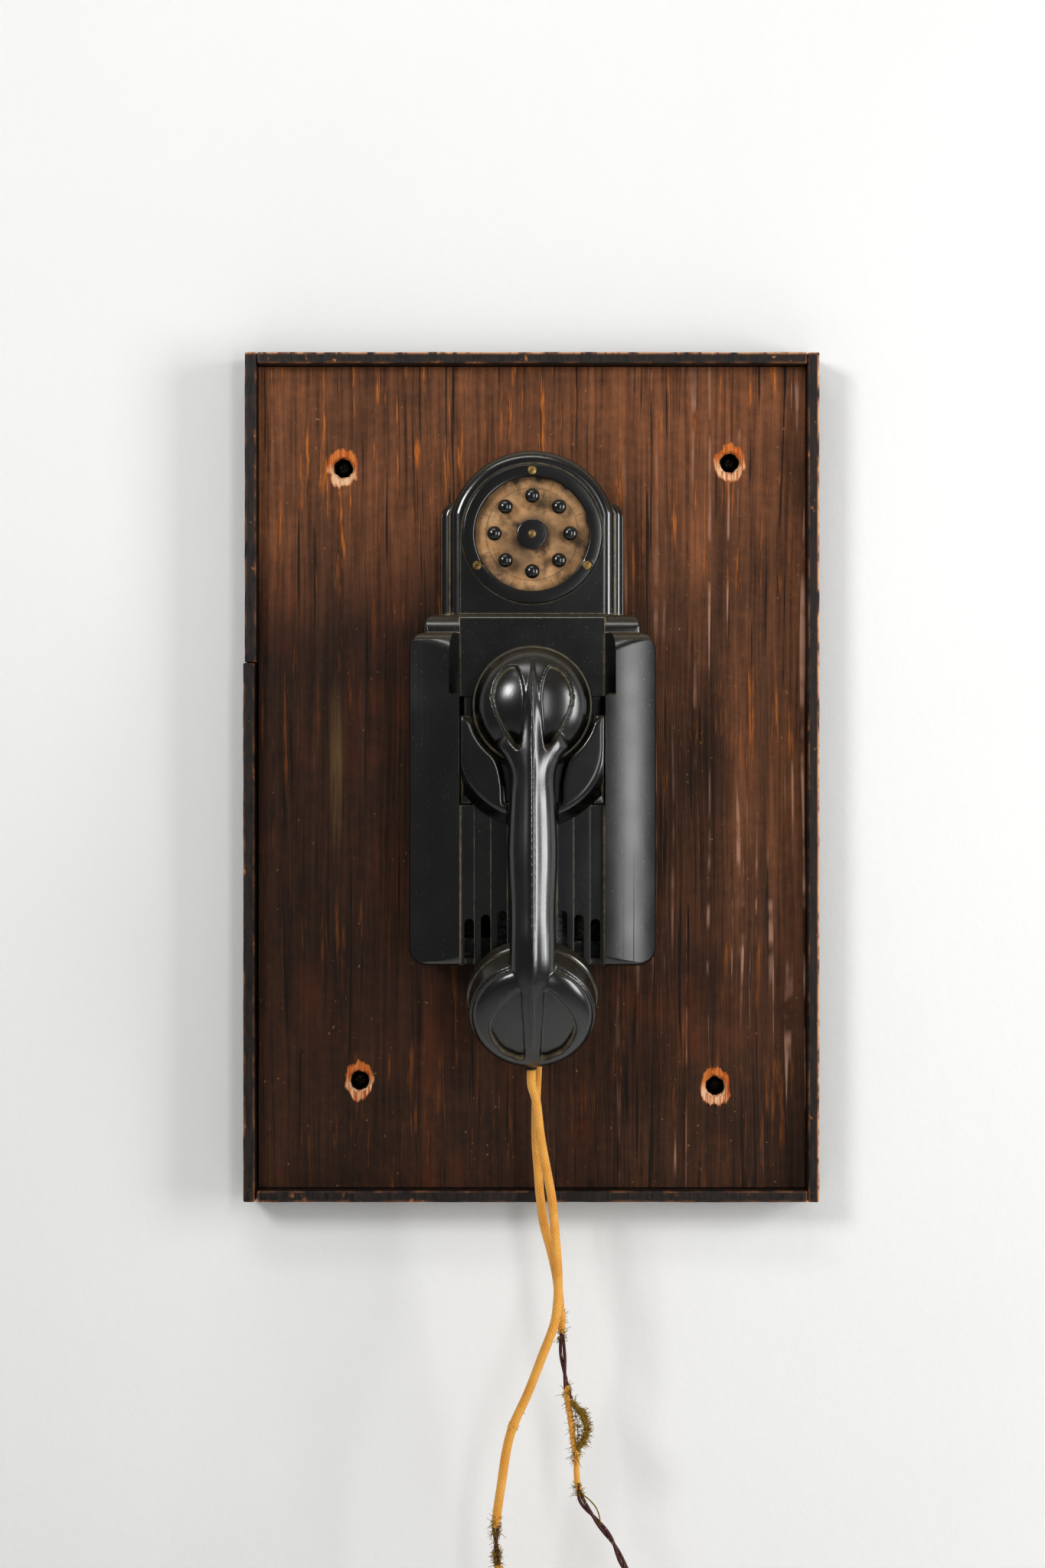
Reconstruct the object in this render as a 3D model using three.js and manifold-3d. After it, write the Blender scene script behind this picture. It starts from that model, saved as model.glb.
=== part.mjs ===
// A wall intercom telephone on its wooden board: a moulded wall set with a push-button selector plate,
// a sliding hook cradle, a handset hanging upright in it, and a cloth-covered handset cord.
//
// Millimetres. X to the right, Z up, Y into the wall: the board's back lies at y = 0 and everything
// stands out of the wall towards -Y. A "depth" is a distance in front of the board panel's face.

import * as THREE from 'three';
import { mergeVertices } from 'three/addons/utils/BufferGeometryUtils.js';
import Module from 'manifold-3d';

const wasm = await Module();
wasm.setup();

// ---------------------------------------------------------------- driving dimensions
const GAP = 0.3; // left between touching pieces

// board: a 12 x 18 inch panel edged with 1/4 inch lattice strips
const BOARD_WIDTH = 304.8;
const BOARD_HEIGHT = 457.2;
const BOARD_THICK = 16;
const STRIP_THICK = 6.35;
const STRIP_DEPTH = 25.4;
const STRIP_BREAK_Z = 63.5; // joint in the left strip
const STRIP_SHIFT = 0.8; // the lower left length has crept outwards by this
const BOARD_HOLES = [[-105, 172], [110, 175], [-96, -169], [102, -172]];
const HOLE_R = 2.6;
const COUNTERBORE_R = 5.2;
const COUNTERBORE_DEEP = 8;

// moulded housing
const WALL = 3;
const PLATE_THICK = 4;
const PLATE_LIP = 1.2; // the back plate shows this far past the mouldings
const COVER_HALF = 66.5;
const COVER_BOTTOM = -101.5;
const COLUMN_TOP = 78;
const COLUMN_INNER = 39.2;
const COLUMN_DEPTH = 56;
const COLUMN_CROWN = 1.4; // bulge of a column's front
const COLUMN_CORNER = 10;
const COVER_ROUND = 6;
const SLANT_WIDTH = 5.6; // the columns' inner walls lean over by this above the window
const SHOULDER_HALF = 59.5;
const SHOULDER_TOP = 88.5;
const SHOULDER_CORNER = 8;
const PANEL_DEPTH = 36;
const PANEL_ROUND = 4;
const WINDOW_TOP = 44;
const WINDOW_BOTTOM = -15;
const STEP_PITCH = 8.9; // stepped ribs below the cradle
const STEP_COUNT = 4;
const STEP_RISE = 1;
const RIB_DEPTH = 46; // of the outermost and lowest rib
const SLOT_WIDTH = 5.2;
const SLOT_TOP = -76.5;
const SLOT_STAGGER = 2.2; // each slot nearer the middle reaches this much higher

// selector
const RING_OUTER = 38;
const RING_BAND = 6.8; // width of the ring's flat
const RING_INNER = RING_OUTER - RING_BAND;
const RING_THICK = 4;
const RING_PROUD = 2.4;
const RING_SCREW_PITCH_R = RING_OUTER - RING_BAND / 2;
const RING_SCREW_HEAD_R = 2.5;
const CARD_THICK = 0.6;
const BUTTON_COUNT = 8;
const BUTTON_PITCH_R = RING_INNER - 10.6;
const BUTTON_HEAD_R = 4.05;
const BUTTON_STEM_R = 2.4;
const BUTTON_HEIGHT = 7.4; // of a head above the card
const BUTTON_TRAVEL = 3.5;
const CLAMP_R = 8.25;
const CLAMP_THICK = 2.4;
const CLAMP_SCREW_HEAD_R = 2.1;
const CLAMP_SCREW_SHANK_R = 1.4;
const RING_SCREW_SHANK_R = 1.2;

// neck, drawn round the selector's ring
const SELECTOR_Z = SHOULDER_TOP + RING_OUTER + 6.1;
const NECK_DEPTH = 30;
const ARCH_R = RING_OUTER + 8.2;
const NECK_HALF = RING_OUTER + 6.8;
const NECK_ROUND = 6;
const WING_HALF = NECK_HALF + 4.8;
const WING_TOP = SELECTOR_Z + 19.4;
const WING_CORNER = 9;
const WING_DEPTH = 20;
const NECK_PANEL_HALF = RING_OUTER + 1;
const NECK_PANEL_RISE = 0.8;
const CABLE_WAY_HALF = 12; // opening between the neck and the cover

// hook cradle
const CRADLE_HALF = 38.3;
const CRADLE_ARC_Z = 17;
const CRADLE_FRONT_R = 37.6;
const CRADLE_SKIRT_R = 45;
const CRADLE_TOP = 33;
const CRADLE_FRONT = 62;
const CRADLE_LIP_BACK = 55.2;
const CRADLE_SKIRT_BACK = 51;
const CRADLE_BACK = 37.2;
const CRADLE_STEM_Z = -14.4; // foot of the part that passes through the window
const CRADLE_NOTCH_FOOT = -15;
const NOTCH_GAP = 3.3; // round the receiver's outline
const POCKET_GAP = 1.2; // round the earpiece's rim
const POCKET_FLOOR = 2.2; // thickness behind the earpiece
const ARM_TIP_WIDTH = 7; // of the sloping top of each arm
const ARM_TIP_DROP = 5;
const SLOT_HALF = 13; // of the slot that the handle passes through
const GUIDE_X = 31.5;
const GUIDE_WIDTH = 6;
const GUIDE_BACK = 28;
const GUIDE_FRONT = 32.5;
const GUIDE_TOP = 58;
const TAIL_DEPTH = 28;
const TAIL_Z = 6;
const TAIL_HALF = 5;
const TAIL_HIGH = 6;

// works
const LEVER_DEPTH = 12;
const LEVER_Z = -1;
const LEVER_DROP = 22;
const LEVER_HUB_R = 3.4;
const LEVER_HALF = 4; // half its thickness
const LEVER_TIP_HALF = 2.2;
const PIN_R = 2;
const PIN_HALF = 9.5;
const BRACKET_HALF = 9;
const CHEEK = [5, 7]; // inner and outer faces of the bracket's cheeks
const CHASSIS = [57, -92, 72]; // half width, low and high Z
const CHASSIS_THICK = 1.5;
const CHASSIS_HOLES = [[-50, -86], [-50, 66], [50, -86], [50, 66]];
const CHASSIS_HOLE_R = 2.2;
const SHEET = 1.6; // thickness of the buzzer's frame
const BUZZER = [-52, -22, -88, -56]; // low and high X, low and high Z
const BUZZER_DEEP = 20;
const BUZZER_COIL_R = 7;
const INDUCTION = [20, 52, -44, 18.5]; // low and high X, Z and depth of its axis
const INDUCTION_R = 9;
const INDUCTION_CHEEK = [11, 2.5]; // half width and thickness of each end cheek
const CONDENSER = [20, 56, -90, -66]; // low and high X, low and high Z
const CONDENSER_DEEP = 16;
const TERMINAL_BASE = [28, 50, 64]; // half width, low and high Z
const TERMINAL_BASE_DEEP = 8;
const TERMINAL_COUNT = 4;
const TERMINAL_PITCH = 13;
const TERMINAL_Z = 57;

// handset
const EAR_Z = 38.4;
const EAR_CAP_R = 32.6;
const EAR_CAP_BACK = 41;
const EAR_CAP_FRONT = 53;
const EAR_DOME_R = EAR_CAP_R - 1.5;
const EAR_DOME_TOP = 73.5;
const MOUTH_TILT = THREE.MathUtils.degToRad(31.4);
const MOUTH_Z = -115.2; // centre of the mouthpiece cap's back rim
const MOUTH_DEPTH = 50;
const MOUTH_CAP_R = 35.2;
const MOUTH_CAP_THICK = 8;
const MOUTH_FACE_RISE = 3;
const BULB_R = MOUTH_CAP_R - 1;
const BULB_BAND = 13.5; // the straight wall below the groove
const BULB_GROOVE = 1.4;
const BULB_DOME = 10.3;
const HANDLE_NECK_HALF = 12.4;
const CAVITY_R = EAR_CAP_R - 6.6;
const MOUTH_CAVITY_R = MOUTH_CAP_R - 6.8;
const HANDSET_TIP_Z = -153.5;
const BUSH_R = 3.6;
const CORD_TOP_Z = -157.2;

// cord and fastenings
const CORD_R = 2.5;
const CORD_BUSH_R = 4.6;
const CORD_BUSH_X = 3;
const CORD_BUSH_DEPTH = 20;
const CORD_EXIT_X = -0.6;
const CORD_EXIT_DEPTH = 49.7;
const COVER_SCREW_R = 2;
const COVER_SCREW_X = 50;
const COVER_SCREW_DEPTH = 14;
const PLATE_SCREW_R = 2;
const PLATE_SCREW_X = [-30, 30];
const PLATE_SCREW_Z = 100;

// sides of round shapes, by size
const FINE = 28;
const MEDIUM = 16;
const SMALL = 10;
const CORNER_STEPS = 3; // of a round corner in an outline

const REACH = 1000; // past everything, for cuts

// ---------------------------------------------------------------- helpers
const group = new THREE.Group();
const yAt = (depth) => -(BOARD_THICK + depth);

function material(color, roughness, metalness = 0) {
  return new THREE.MeshStandardMaterial({ color, roughness, metalness });
}

const BAKELITE = material(0x121110, 0.28);
const WOOD = material(0x3a2418, 0.7);
const STRIP_WOOD = material(0x1d1612, 0.75);
const BRASS = material(0x9a7b3e, 0.4, 1);
const STEEL = material(0x8d8f90, 0.4, 1);
const BLACK_STEEL = material(0x1a1a1b, 0.5, 0.8);
const PAPER = material(0xb08c5c, 0.85);
const INSULATOR = material(0x4a2a16, 0.6);
const ENAMEL = material(0x5a1f14, 0.45);
const TINPLATE = material(0xa5a59b, 0.35, 1);
const CLOTH = material(0xb9853f, 0.95);
const RUBBER = material(0x161412, 0.8);

function solid(geometry) {
  const bare = geometry.index ? geometry.toNonIndexed() : geometry.clone();
  bare.deleteAttribute('normal');
  bare.deleteAttribute('uv');
  const merged = mergeVertices(bare, 1e-4);
  const made = (triVerts) => new wasm.Manifold(new wasm.Mesh({
    numProp: 3,
    vertProperties: Float32Array.from(merged.attributes.position.array),
    triVerts: Uint32Array.from(triVerts),
  }));
  const faces = Array.from(merged.index.array);
  const body = made(faces);
  return body.volume() < 0 ? made(faces.reverse()) : body; // a lathe profile may run either way
}

function geometryOf(body) {
  const mesh = body.getMesh();
  const geometry = new THREE.BufferGeometry();
  const count = mesh.vertProperties.length / mesh.numProp;
  const positions = new Float32Array(count * 3);
  for (let i = 0; i < count; i += 1) {
    for (let k = 0; k < 3; k += 1) positions[i * 3 + k] = mesh.vertProperties[i * mesh.numProp + k];
  }
  geometry.setAttribute('position', new THREE.BufferAttribute(positions, 3));
  geometry.setIndex(Array.from(mesh.triVerts));
  return geometry;
}

function add(name, body, finish, parent = group) {
  const geometry = body instanceof THREE.BufferGeometry ? body : geometryOf(body);
  geometry.computeVertexNormals();
  const mesh = new THREE.Mesh(geometry, finish);
  mesh.name = name;
  parent.add(mesh);
  return mesh;
}

// A box given by its low and high corners.
function box(x0, x1, y0, y1, z0, z1) {
  const geometry = new THREE.BoxGeometry(x1 - x0, y1 - y0, z1 - z0);
  return solid(geometry.translate((x0 + x1) / 2, (y0 + y1) / 2, (z0 + z1) / 2));
}

// A box between two depths.
const block = (x0, x1, back, front, z0, z1) => box(x0, x1, yAt(front), yAt(back), z0, z1);

// The same between two distances from the middle, on one side of it.
const sideBlock = (side, near, far, ...rest) => (
  side > 0 ? block(near, far, ...rest) : block(-far, -near, ...rest)
);

// An outline drawn in X and Z, made solid between two depths. A round is taken off its front edge.
function slab(shape, back, front, round = 0, segments = 3, roundDeep = round) {
  const geometry = new THREE.ExtrudeGeometry(shape, {
    depth: front - back,
    curveSegments: CORNER_STEPS,
    bevelEnabled: round > 0,
    bevelThickness: roundDeep,
    bevelSize: round,
    bevelOffset: -round,
    bevelSegments: segments,
  });
  geometry.translate(0, 0, back - roundDeep).rotateX(Math.PI / 2).translate(0, yAt(0), 0);
  const body = solid(geometry);
  return round ? body.subtract(box(-REACH, REACH, yAt(back), REACH, -REACH, REACH)) : body;
}

// An outline drawn in X and depth, made solid between two heights.
function upright(points, z0, z1) {
  const shape = new THREE.Shape(points.map(([x, depth]) => new THREE.Vector2(x, yAt(depth))));
  const geometry = new THREE.ExtrudeGeometry(shape, { depth: z1 - z0, bevelEnabled: false });
  return solid(geometry.translate(0, 0, z0));
}

// An outline drawn in depth and Z, made solid between two X values.
function profile(shape, x0, x1) {
  const geometry = new THREE.ExtrudeGeometry(shape, { depth: x1 - x0, bevelEnabled: false });
  const turn = new THREE.Matrix4().makeBasis(
    new THREE.Vector3(0, -1, 0),
    new THREE.Vector3(0, 0, 1),
    new THREE.Vector3(-1, 0, 0),
  );
  return solid(geometry.applyMatrix4(turn).translate(x1, yAt(0), 0));
}

function rectangle(x0, x1, z0, z1, r = 0) {
  const shape = new THREE.Shape();
  if (!r) {
    shape.moveTo(x0, z0).lineTo(x1, z0).lineTo(x1, z1).lineTo(x0, z1);
    return shape;
  }
  shape.absarc(x1 - r, z0 + r, r, -Math.PI / 2, 0);
  shape.absarc(x1 - r, z1 - r, r, 0, Math.PI / 2);
  shape.absarc(x0 + r, z1 - r, r, Math.PI / 2, Math.PI);
  shape.absarc(x0 + r, z0 + r, r, Math.PI, Math.PI * 1.5);
  return shape;
}

// A rectangle whose top is a full arch about the selector's centre, drawn in by the inset.
function archway(half, radius, z0, inset = 0) {
  const shape = new THREE.Shape();
  const r = radius - inset;
  const side = half - inset;
  const start = Math.acos(side / r);
  shape.moveTo(-side, z0).lineTo(side, z0);
  shape.absarc(0, SELECTOR_Z, r, start, Math.PI - start);
  return shape;
}

// A solid of revolution about an axis along Y, from points of radius and depth, at one X and Z.
function turned(points, x, z, segments = FINE) {
  const profilePoints = points.map(([r, depth]) => new THREE.Vector2(r, yAt(depth)));
  return solid(new THREE.LatheGeometry(profilePoints, segments).translate(x, 0, z));
}

// A solid of revolution about a vertical axis, from points of radius and height.
function uprightTurned(points, x, depth, segments = SMALL) {
  const profilePoints = points.map(([r, z]) => new THREE.Vector2(r, z));
  const geometry = new THREE.LatheGeometry(profilePoints, segments).rotateX(Math.PI / 2);
  return solid(geometry.translate(x, yAt(depth), 0));
}

// A cylinder along Z.
function rod(radius, x, depth, z0, z1) {
  return uprightTurned([[0, z0], [radius, z0], [radius, z1], [0, z1]], x, depth);
}

// A plain disc between two depths.
function disc(radius, back, front, x, z, segments = FINE) {
  return turned([[0, front], [radius, front], [radius, back], [0, back]], x, z, segments);
}

function union(bodies) {
  return bodies.reduce((whole, next) => whole.add(next));
}

const polar = (radius, degrees) => {
  const angle = THREE.MathUtils.degToRad(degrees);
  return [radius * Math.cos(angle), radius * Math.sin(angle)];
};

// ---------------------------------------------------------------- wooden board
function board() {
  const halfW = BOARD_WIDTH / 2;
  const halfH = BOARD_HEIGHT / 2;
  let panel = box(-halfW, halfW, -BOARD_THICK, 0, -halfH, halfH);
  for (const [x, z] of BOARD_HOLES) {
    panel = panel.subtract(disc(HOLE_R, -BOARD_THICK - 1, 1, x, z, SMALL));
    panel = panel.subtract(disc(COUNTERBORE_R, -COUNTERBORE_DEEP, 1, x, z, MEDIUM));
  }
  add('board_panel', panel, WOOD);

  const inner = halfW + GAP;
  const outer = inner + STRIP_THICK;
  const top = halfH + GAP + STRIP_THICK;
  const strip = (x0, x1, z0, z1) => box(x0, x1, -STRIP_DEPTH, 0, z0, z1);
  add('trim_right', strip(inner, outer, -top, top), STRIP_WOOD);
  add('trim_left_upper', strip(-outer, -inner, STRIP_BREAK_Z, top), STRIP_WOOD);
  const lower = strip(-outer - STRIP_SHIFT, -inner - STRIP_SHIFT, -top, STRIP_BREAK_Z - GAP);
  add('trim_left_lower', lower, STRIP_WOOD);
  add('trim_top', strip(-inner + GAP, inner - GAP, halfH + GAP, top), STRIP_WOOD);
  add('trim_bottom', strip(-inner + GAP, inner - GAP, -top, -halfH - GAP), STRIP_WOOD);

  BOARD_HOLES.forEach(([x, z], i) => {
    const seat = -COUNTERBORE_DEEP + GAP;
    const headR = COUNTERBORE_R - 0.9;
    let screw = turned([
      [0, seat + 3.1], [headR * 0.55, seat + 2.8], [headR, seat + 1.2], [headR, seat],
      [HOLE_R - GAP, seat], [HOLE_R - GAP, -BOARD_THICK + 1], [0, -BOARD_THICK + 0.4],
    ], x, z, SMALL);
    for (const [w, h] of [[4.4, 1], [1, 4.4]]) {
      screw = screw.subtract(block(x - w / 2, x + w / 2, seat + 1.4, seat + 5, z - h / 2, z + h / 2));
    }
    add(`board_screw_${i + 1}`, screw, BLACK_STEEL);
  });
}

// ---------------------------------------------------------------- mouldings
const PLATE_FRONT = GAP + PLATE_THICK;
const MOULD_BACK = PLATE_FRONT + GAP;
const RING_SEAT = NECK_DEPTH + RING_PROUD - RING_THICK; // the ring is let into the neck
const THROAT_R = RING_SCREW_PITCH_R - 1.6; // the button plate lies in this, under the ring

const coverOutline = (grow) => rectangle(
  -COVER_HALF - grow, COVER_HALF + grow, COVER_BOTTOM - grow, COLUMN_TOP + grow, COLUMN_CORNER + grow,
);
const shoulderOutline = (grow) => rectangle(
  -SHOULDER_HALF - grow, SHOULDER_HALF + grow, WINDOW_BOTTOM, SHOULDER_TOP + grow, SHOULDER_CORNER + grow,
);
const wingOutline = (grow, z0) => rectangle(
  -WING_HALF - grow, WING_HALF + grow, z0, WING_TOP + grow, WING_CORNER + grow,
);

function backPlate() {
  const z0 = WINDOW_TOP;
  let plate = union([
    slab(coverOutline(PLATE_LIP), GAP, PLATE_FRONT),
    slab(shoulderOutline(PLATE_LIP), GAP, PLATE_FRONT),
    slab(wingOutline(PLATE_LIP, z0), GAP, PLATE_FRONT),
    slab(archway(NECK_HALF + PLATE_LIP, ARCH_R + PLATE_LIP, z0), GAP, PLATE_FRONT),
  ]);
  for (const x of PLATE_SCREW_X) {
    plate = plate.subtract(disc(PLATE_SCREW_R + GAP, 0, PLATE_FRONT + 1, x, PLATE_SCREW_Z, SMALL));
  }
  add('back_plate', plate, BAKELITE);
}

// Screws through the back plate, inside the neck's foot.
function plateScrews() {
  const head = PLATE_FRONT + GAP;
  PLATE_SCREW_X.forEach((x, i) => {
    const screw = turned([
      [0, head + 2.4], [3, head + 1.8], [4.2, head], [PLATE_SCREW_R, head],
      [PLATE_SCREW_R, GAP], [0, GAP],
    ], x, PLATE_SCREW_Z, SMALL);
    add(`plate_screw_${i + 1}`, screw, STEEL);
  });
}

function neckHousing() {
  const foot = SHOULDER_TOP + GAP;
  const low = foot - 30;
  const panel = rectangle(-NECK_PANEL_HALF, NECK_PANEL_HALF, low, SELECTOR_Z);
  const outer = union([
    slab(wingOutline(0, low), MOULD_BACK, WING_DEPTH, 4),
    slab(archway(NECK_HALF, ARCH_R, low), MOULD_BACK, NECK_DEPTH, NECK_ROUND),
    slab(panel, NECK_DEPTH - WALL, NECK_DEPTH + NECK_PANEL_RISE),
  ]);
  const seat = disc(RING_OUTER + WALL, RING_SEAT - WALL, RING_SEAT, 0, SELECTOR_Z);
  const hollow = union([
    slab(wingOutline(-WALL, low), MOULD_BACK - 1, WING_DEPTH - WALL),
    slab(archway(NECK_HALF, ARCH_R, low, WALL), MOULD_BACK - 1, NECK_DEPTH - WALL),
  ]);
  let housing = outer.subtract(hollow).add(seat);
  housing = housing.subtract(block(-REACH, REACH, -REACH, REACH, low - 20, foot));
  housing = housing.add(block(-NECK_HALF, NECK_HALF, MOULD_BACK, NECK_DEPTH - 1, foot, foot + WALL));
  housing = housing.subtract(disc(RING_OUTER + GAP, RING_SEAT, REACH, 0, SELECTOR_Z));
  housing = housing.subtract(disc(THROAT_R, RING_SEAT - 2 * WALL, REACH, 0, SELECTOR_Z));
  for (const [x, z] of ringScrewPlaces()) {
    housing = housing.subtract(disc(RING_SCREW_SHANK_R + GAP, RING_SEAT - 2 * WALL, REACH, x, z, SMALL));
  }
  const cableWay = [-CABLE_WAY_HALF, CABLE_WAY_HALF, MOULD_BACK - 1, WING_DEPTH - WALL];
  add('neck_housing', housing.subtract(block(...cableWay, foot - 1, foot + WALL + 1)), BAKELITE);
}

// Ribs that step back from the middle outwards, between two heights; inset gives their inside.
function ribSteps(z0, z1, inset = 0) {
  const steps = [];
  for (let i = 0; i <= STEP_COUNT; i += 1) {
    const reach = i === 0 ? COLUMN_INNER + 1 : STEP_PITCH * (STEP_COUNT - i + 0.5);
    steps.push(block(-reach, reach, MOULD_BACK, RIB_DEPTH + STEP_RISE * i - inset, z0, z1));
  }
  return union(steps);
}

// One side column with its crowned front, rounded all round its outline; inset gives its inside.
function sideColumn(side, inset = 0) {
  const inner = COLUMN_INNER + inset;
  const outer = COVER_HALF - inset;
  const front = COLUMN_DEPTH - inset;
  const back = inset ? MOULD_BACK - 1 : MOULD_BACK;
  const crown = [];
  const crownSteps = 5;
  for (let i = 0; i <= crownSteps; i += 1) {
    const across = i / crownSteps;
    const drop = COLUMN_CROWN * (2 * across - 1) ** 2;
    crown.push([side * (inner + (outer - inner) * across), front - drop]);
  }
  const body = upright([[side * inner, back], ...crown, [side * outer, back]], COVER_BOTTOM, COLUMN_TOP);
  return body.intersect(slab(coverOutline(-inset), back, front, COVER_ROUND - inset / 2));
}

// The lean of a column's inner wall above the window, as the wedge that it takes away.
function slant(side, inset = 0) {
  const slope = SLANT_WIDTH / (COLUMN_DEPTH - PANEL_DEPTH);
  const foot = COLUMN_INNER + inset;
  const front = COLUMN_DEPTH + WALL;
  return upright([
    [side * (foot - 2), PANEL_DEPTH - inset],
    [side * foot, PANEL_DEPTH - inset],
    [side * (foot + slope * (front - PANEL_DEPTH + inset)), front],
    [side * (foot - 2), front],
  ], WINDOW_TOP, COLUMN_TOP + 1);
}

function frontCover() {
  const floor = COVER_BOTTOM + WALL;
  const inside = MOULD_BACK - 1;
  let cover = union([
    slab(coverOutline(0), MOULD_BACK, PANEL_DEPTH, PANEL_ROUND),
    slab(shoulderOutline(0), MOULD_BACK, PANEL_DEPTH, PANEL_ROUND),
    sideColumn(-1),
    sideColumn(1),
    ribSteps(COVER_BOTTOM, WINDOW_BOTTOM),
  ]);
  cover = cover.subtract(slant(-1)).subtract(slant(1));
  const ribInside = ribSteps(floor, WINDOW_BOTTOM - WALL, WALL);
  cover = cover.subtract(union([
    slab(coverOutline(-WALL), inside, PANEL_DEPTH - WALL),
    slab(shoulderOutline(-WALL), inside, PANEL_DEPTH - WALL),
    sideColumn(-1, WALL).subtract(slant(-1, WALL)),
    sideColumn(1, WALL).subtract(slant(1, WALL)),
    ribInside.intersect(block(-COLUMN_INNER, COLUMN_INNER, 0, REACH, floor, WINDOW_TOP)),
  ]));
  cover = cover.subtract(block(-COLUMN_INNER, COLUMN_INNER, inside, REACH, WINDOW_BOTTOM, WINDOW_TOP));
  const throughFloor = [COVER_BOTTOM - 1, floor + 1];
  for (const side of [-1, 1]) {
    for (let i = 0; i < STEP_COUNT; i += 1) cover = cover.subtract(soundSlot(side, i));
    const screwX = side * COVER_SCREW_X;
    cover = cover.subtract(rod(COVER_SCREW_R + GAP, screwX, COVER_SCREW_DEPTH, ...throughFloor));
  }
  cover = cover.subtract(rod(CORD_BUSH_R + GAP, CORD_BUSH_X, CORD_BUSH_DEPTH, ...throughFloor));
  add('front_cover', cover, BAKELITE);
}

// A slot beside a rib's outer step, with a round top and an open bottom.
function soundSlot(side, i) {
  const r = SLOT_WIDTH / 2;
  const centre = side * (STEP_PITCH * (i + 0.5) + r + GAP);
  const top = SLOT_TOP + SLOT_STAGGER * (STEP_COUNT - 1 - i) - r;
  const shape = new THREE.Shape();
  shape.moveTo(centre - r, COVER_BOTTOM - 1).lineTo(centre + r, COVER_BOTTOM - 1);
  shape.absarc(centre, top, r, 0, Math.PI);
  return slab(shape, RIB_DEPTH - 3 * WALL, REACH / 10);
}

function coverScrews() {
  [-1, 1].forEach((side, i) => {
    const head = COVER_BOTTOM - GAP;
    const tip = head + 9;
    const screw = uprightTurned([
      [0, head - 2], [3, head - 1.6], [3.8, head], [COVER_SCREW_R, head], [COVER_SCREW_R, tip], [0, tip],
    ], side * COVER_SCREW_X, COVER_SCREW_DEPTH);
    const slot = block(-REACH, REACH, COVER_SCREW_DEPTH - 0.5, COVER_SCREW_DEPTH + 0.5, head - 3, head - 1);
    add(`cover_screw_${i + 1}`, screw.subtract(slot), BLACK_STEEL);
  });
}

// ---------------------------------------------------------------- hook cradle
// A U about the cradle's arc, open at the top.
function bowlOutline(radius) {
  const shape = new THREE.Shape();
  shape.moveTo(radius, CRADLE_TOP + 20).lineTo(-radius, CRADLE_TOP + 20);
  shape.absarc(0, CRADLE_ARC_Z, radius, Math.PI, Math.PI * 2);
  return shape;
}

// The opening in the lip: round the receiver's dome, drawn in to the handle's neck.
function notchOutline() {
  const r = EAR_DOME_R + NOTCH_GAP;
  const neck = HANDLE_NECK_HALF + NOTCH_GAP;
  const leave = THREE.MathUtils.degToRad(42);
  const shape = new THREE.Shape();
  shape.moveTo(neck, CRADLE_NOTCH_FOOT);
  shape.quadraticCurveTo(neck, EAR_Z - r + 4, r * Math.sin(leave), EAR_Z - r * Math.cos(leave));
  shape.absarc(0, EAR_Z, r, leave - Math.PI / 2, Math.PI * 1.5 - leave);
  shape.quadraticCurveTo(-neck, EAR_Z - r + 4, -neck, CRADLE_NOTCH_FOOT);
  return shape;
}

function hookCradle() {
  const slope = CRADLE_SKIRT_R - CRADLE_FRONT_R;
  const skirtDeep = CRADLE_FRONT - CRADLE_SKIRT_BACK;
  const low = CRADLE_ARC_Z - CRADLE_SKIRT_R - 1;
  const out = REACH / 10;
  const bowl = slab(bowlOutline(CRADLE_SKIRT_R), CRADLE_SKIRT_BACK, CRADLE_FRONT, slope, 1, skirtDeep)
    .intersect(block(-CRADLE_HALF, CRADLE_HALF, 0, REACH, low, CRADLE_TOP));
  const stem = [-CRADLE_HALF, CRADLE_HALF, CRADLE_BACK, CRADLE_SKIRT_BACK + 1, CRADLE_STEM_Z, CRADLE_TOP];
  const lightening = CRADLE_HALF - WALL - 2;
  let cradle = union([bowl, block(...stem)]).subtract(union([
    disc(EAR_CAP_R + POCKET_GAP, CRADLE_BACK + POCKET_FLOOR, CRADLE_LIP_BACK, 0, EAR_Z),
    slab(notchOutline(), CRADLE_LIP_BACK - 1, out),
    block(-SLOT_HALF, SLOT_HALF, CRADLE_SKIRT_BACK - 1, out, low, CRADLE_NOTCH_FOOT + 1),
    block(-lightening, lightening, CRADLE_BACK - 1, CRADLE_SKIRT_BACK, CRADLE_STEM_Z + WALL, 0.5),
  ]));
  const shell = slab(bowlOutline(CRADLE_FRONT_R - WALL), CRADLE_SKIRT_BACK - 1, CRADLE_FRONT - WALL - 1);
  for (const side of [-1, 1]) {
    const pocket = sideBlock(side, SLOT_HALF + WALL, CRADLE_HALF - WALL, 0, REACH, low, CRADLE_STEM_Z);
    cradle = cradle.subtract(shell.intersect(pocket)).subtract(armTip(side));
    // a guide tongue runs up behind the cover's panel
    const tongue = [side, GUIDE_X, GUIDE_X + GUIDE_WIDTH, GUIDE_BACK];
    cradle = cradle.add(sideBlock(...tongue, GUIDE_FRONT, CRADLE_STEM_Z, GUIDE_TOP));
    cradle = cradle.add(sideBlock(...tongue, CRADLE_BACK + 1, CRADLE_STEM_Z, CRADLE_TOP - TAIL_HIGH));
  }
  const tail = [-TAIL_HALF, TAIL_HALF, TAIL_DEPTH - 4, CRADLE_BACK + 1, TAIL_Z, TAIL_Z + TAIL_HIGH];
  add('hook_cradle', cradle.add(block(...tail)), BAKELITE);
}

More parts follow.
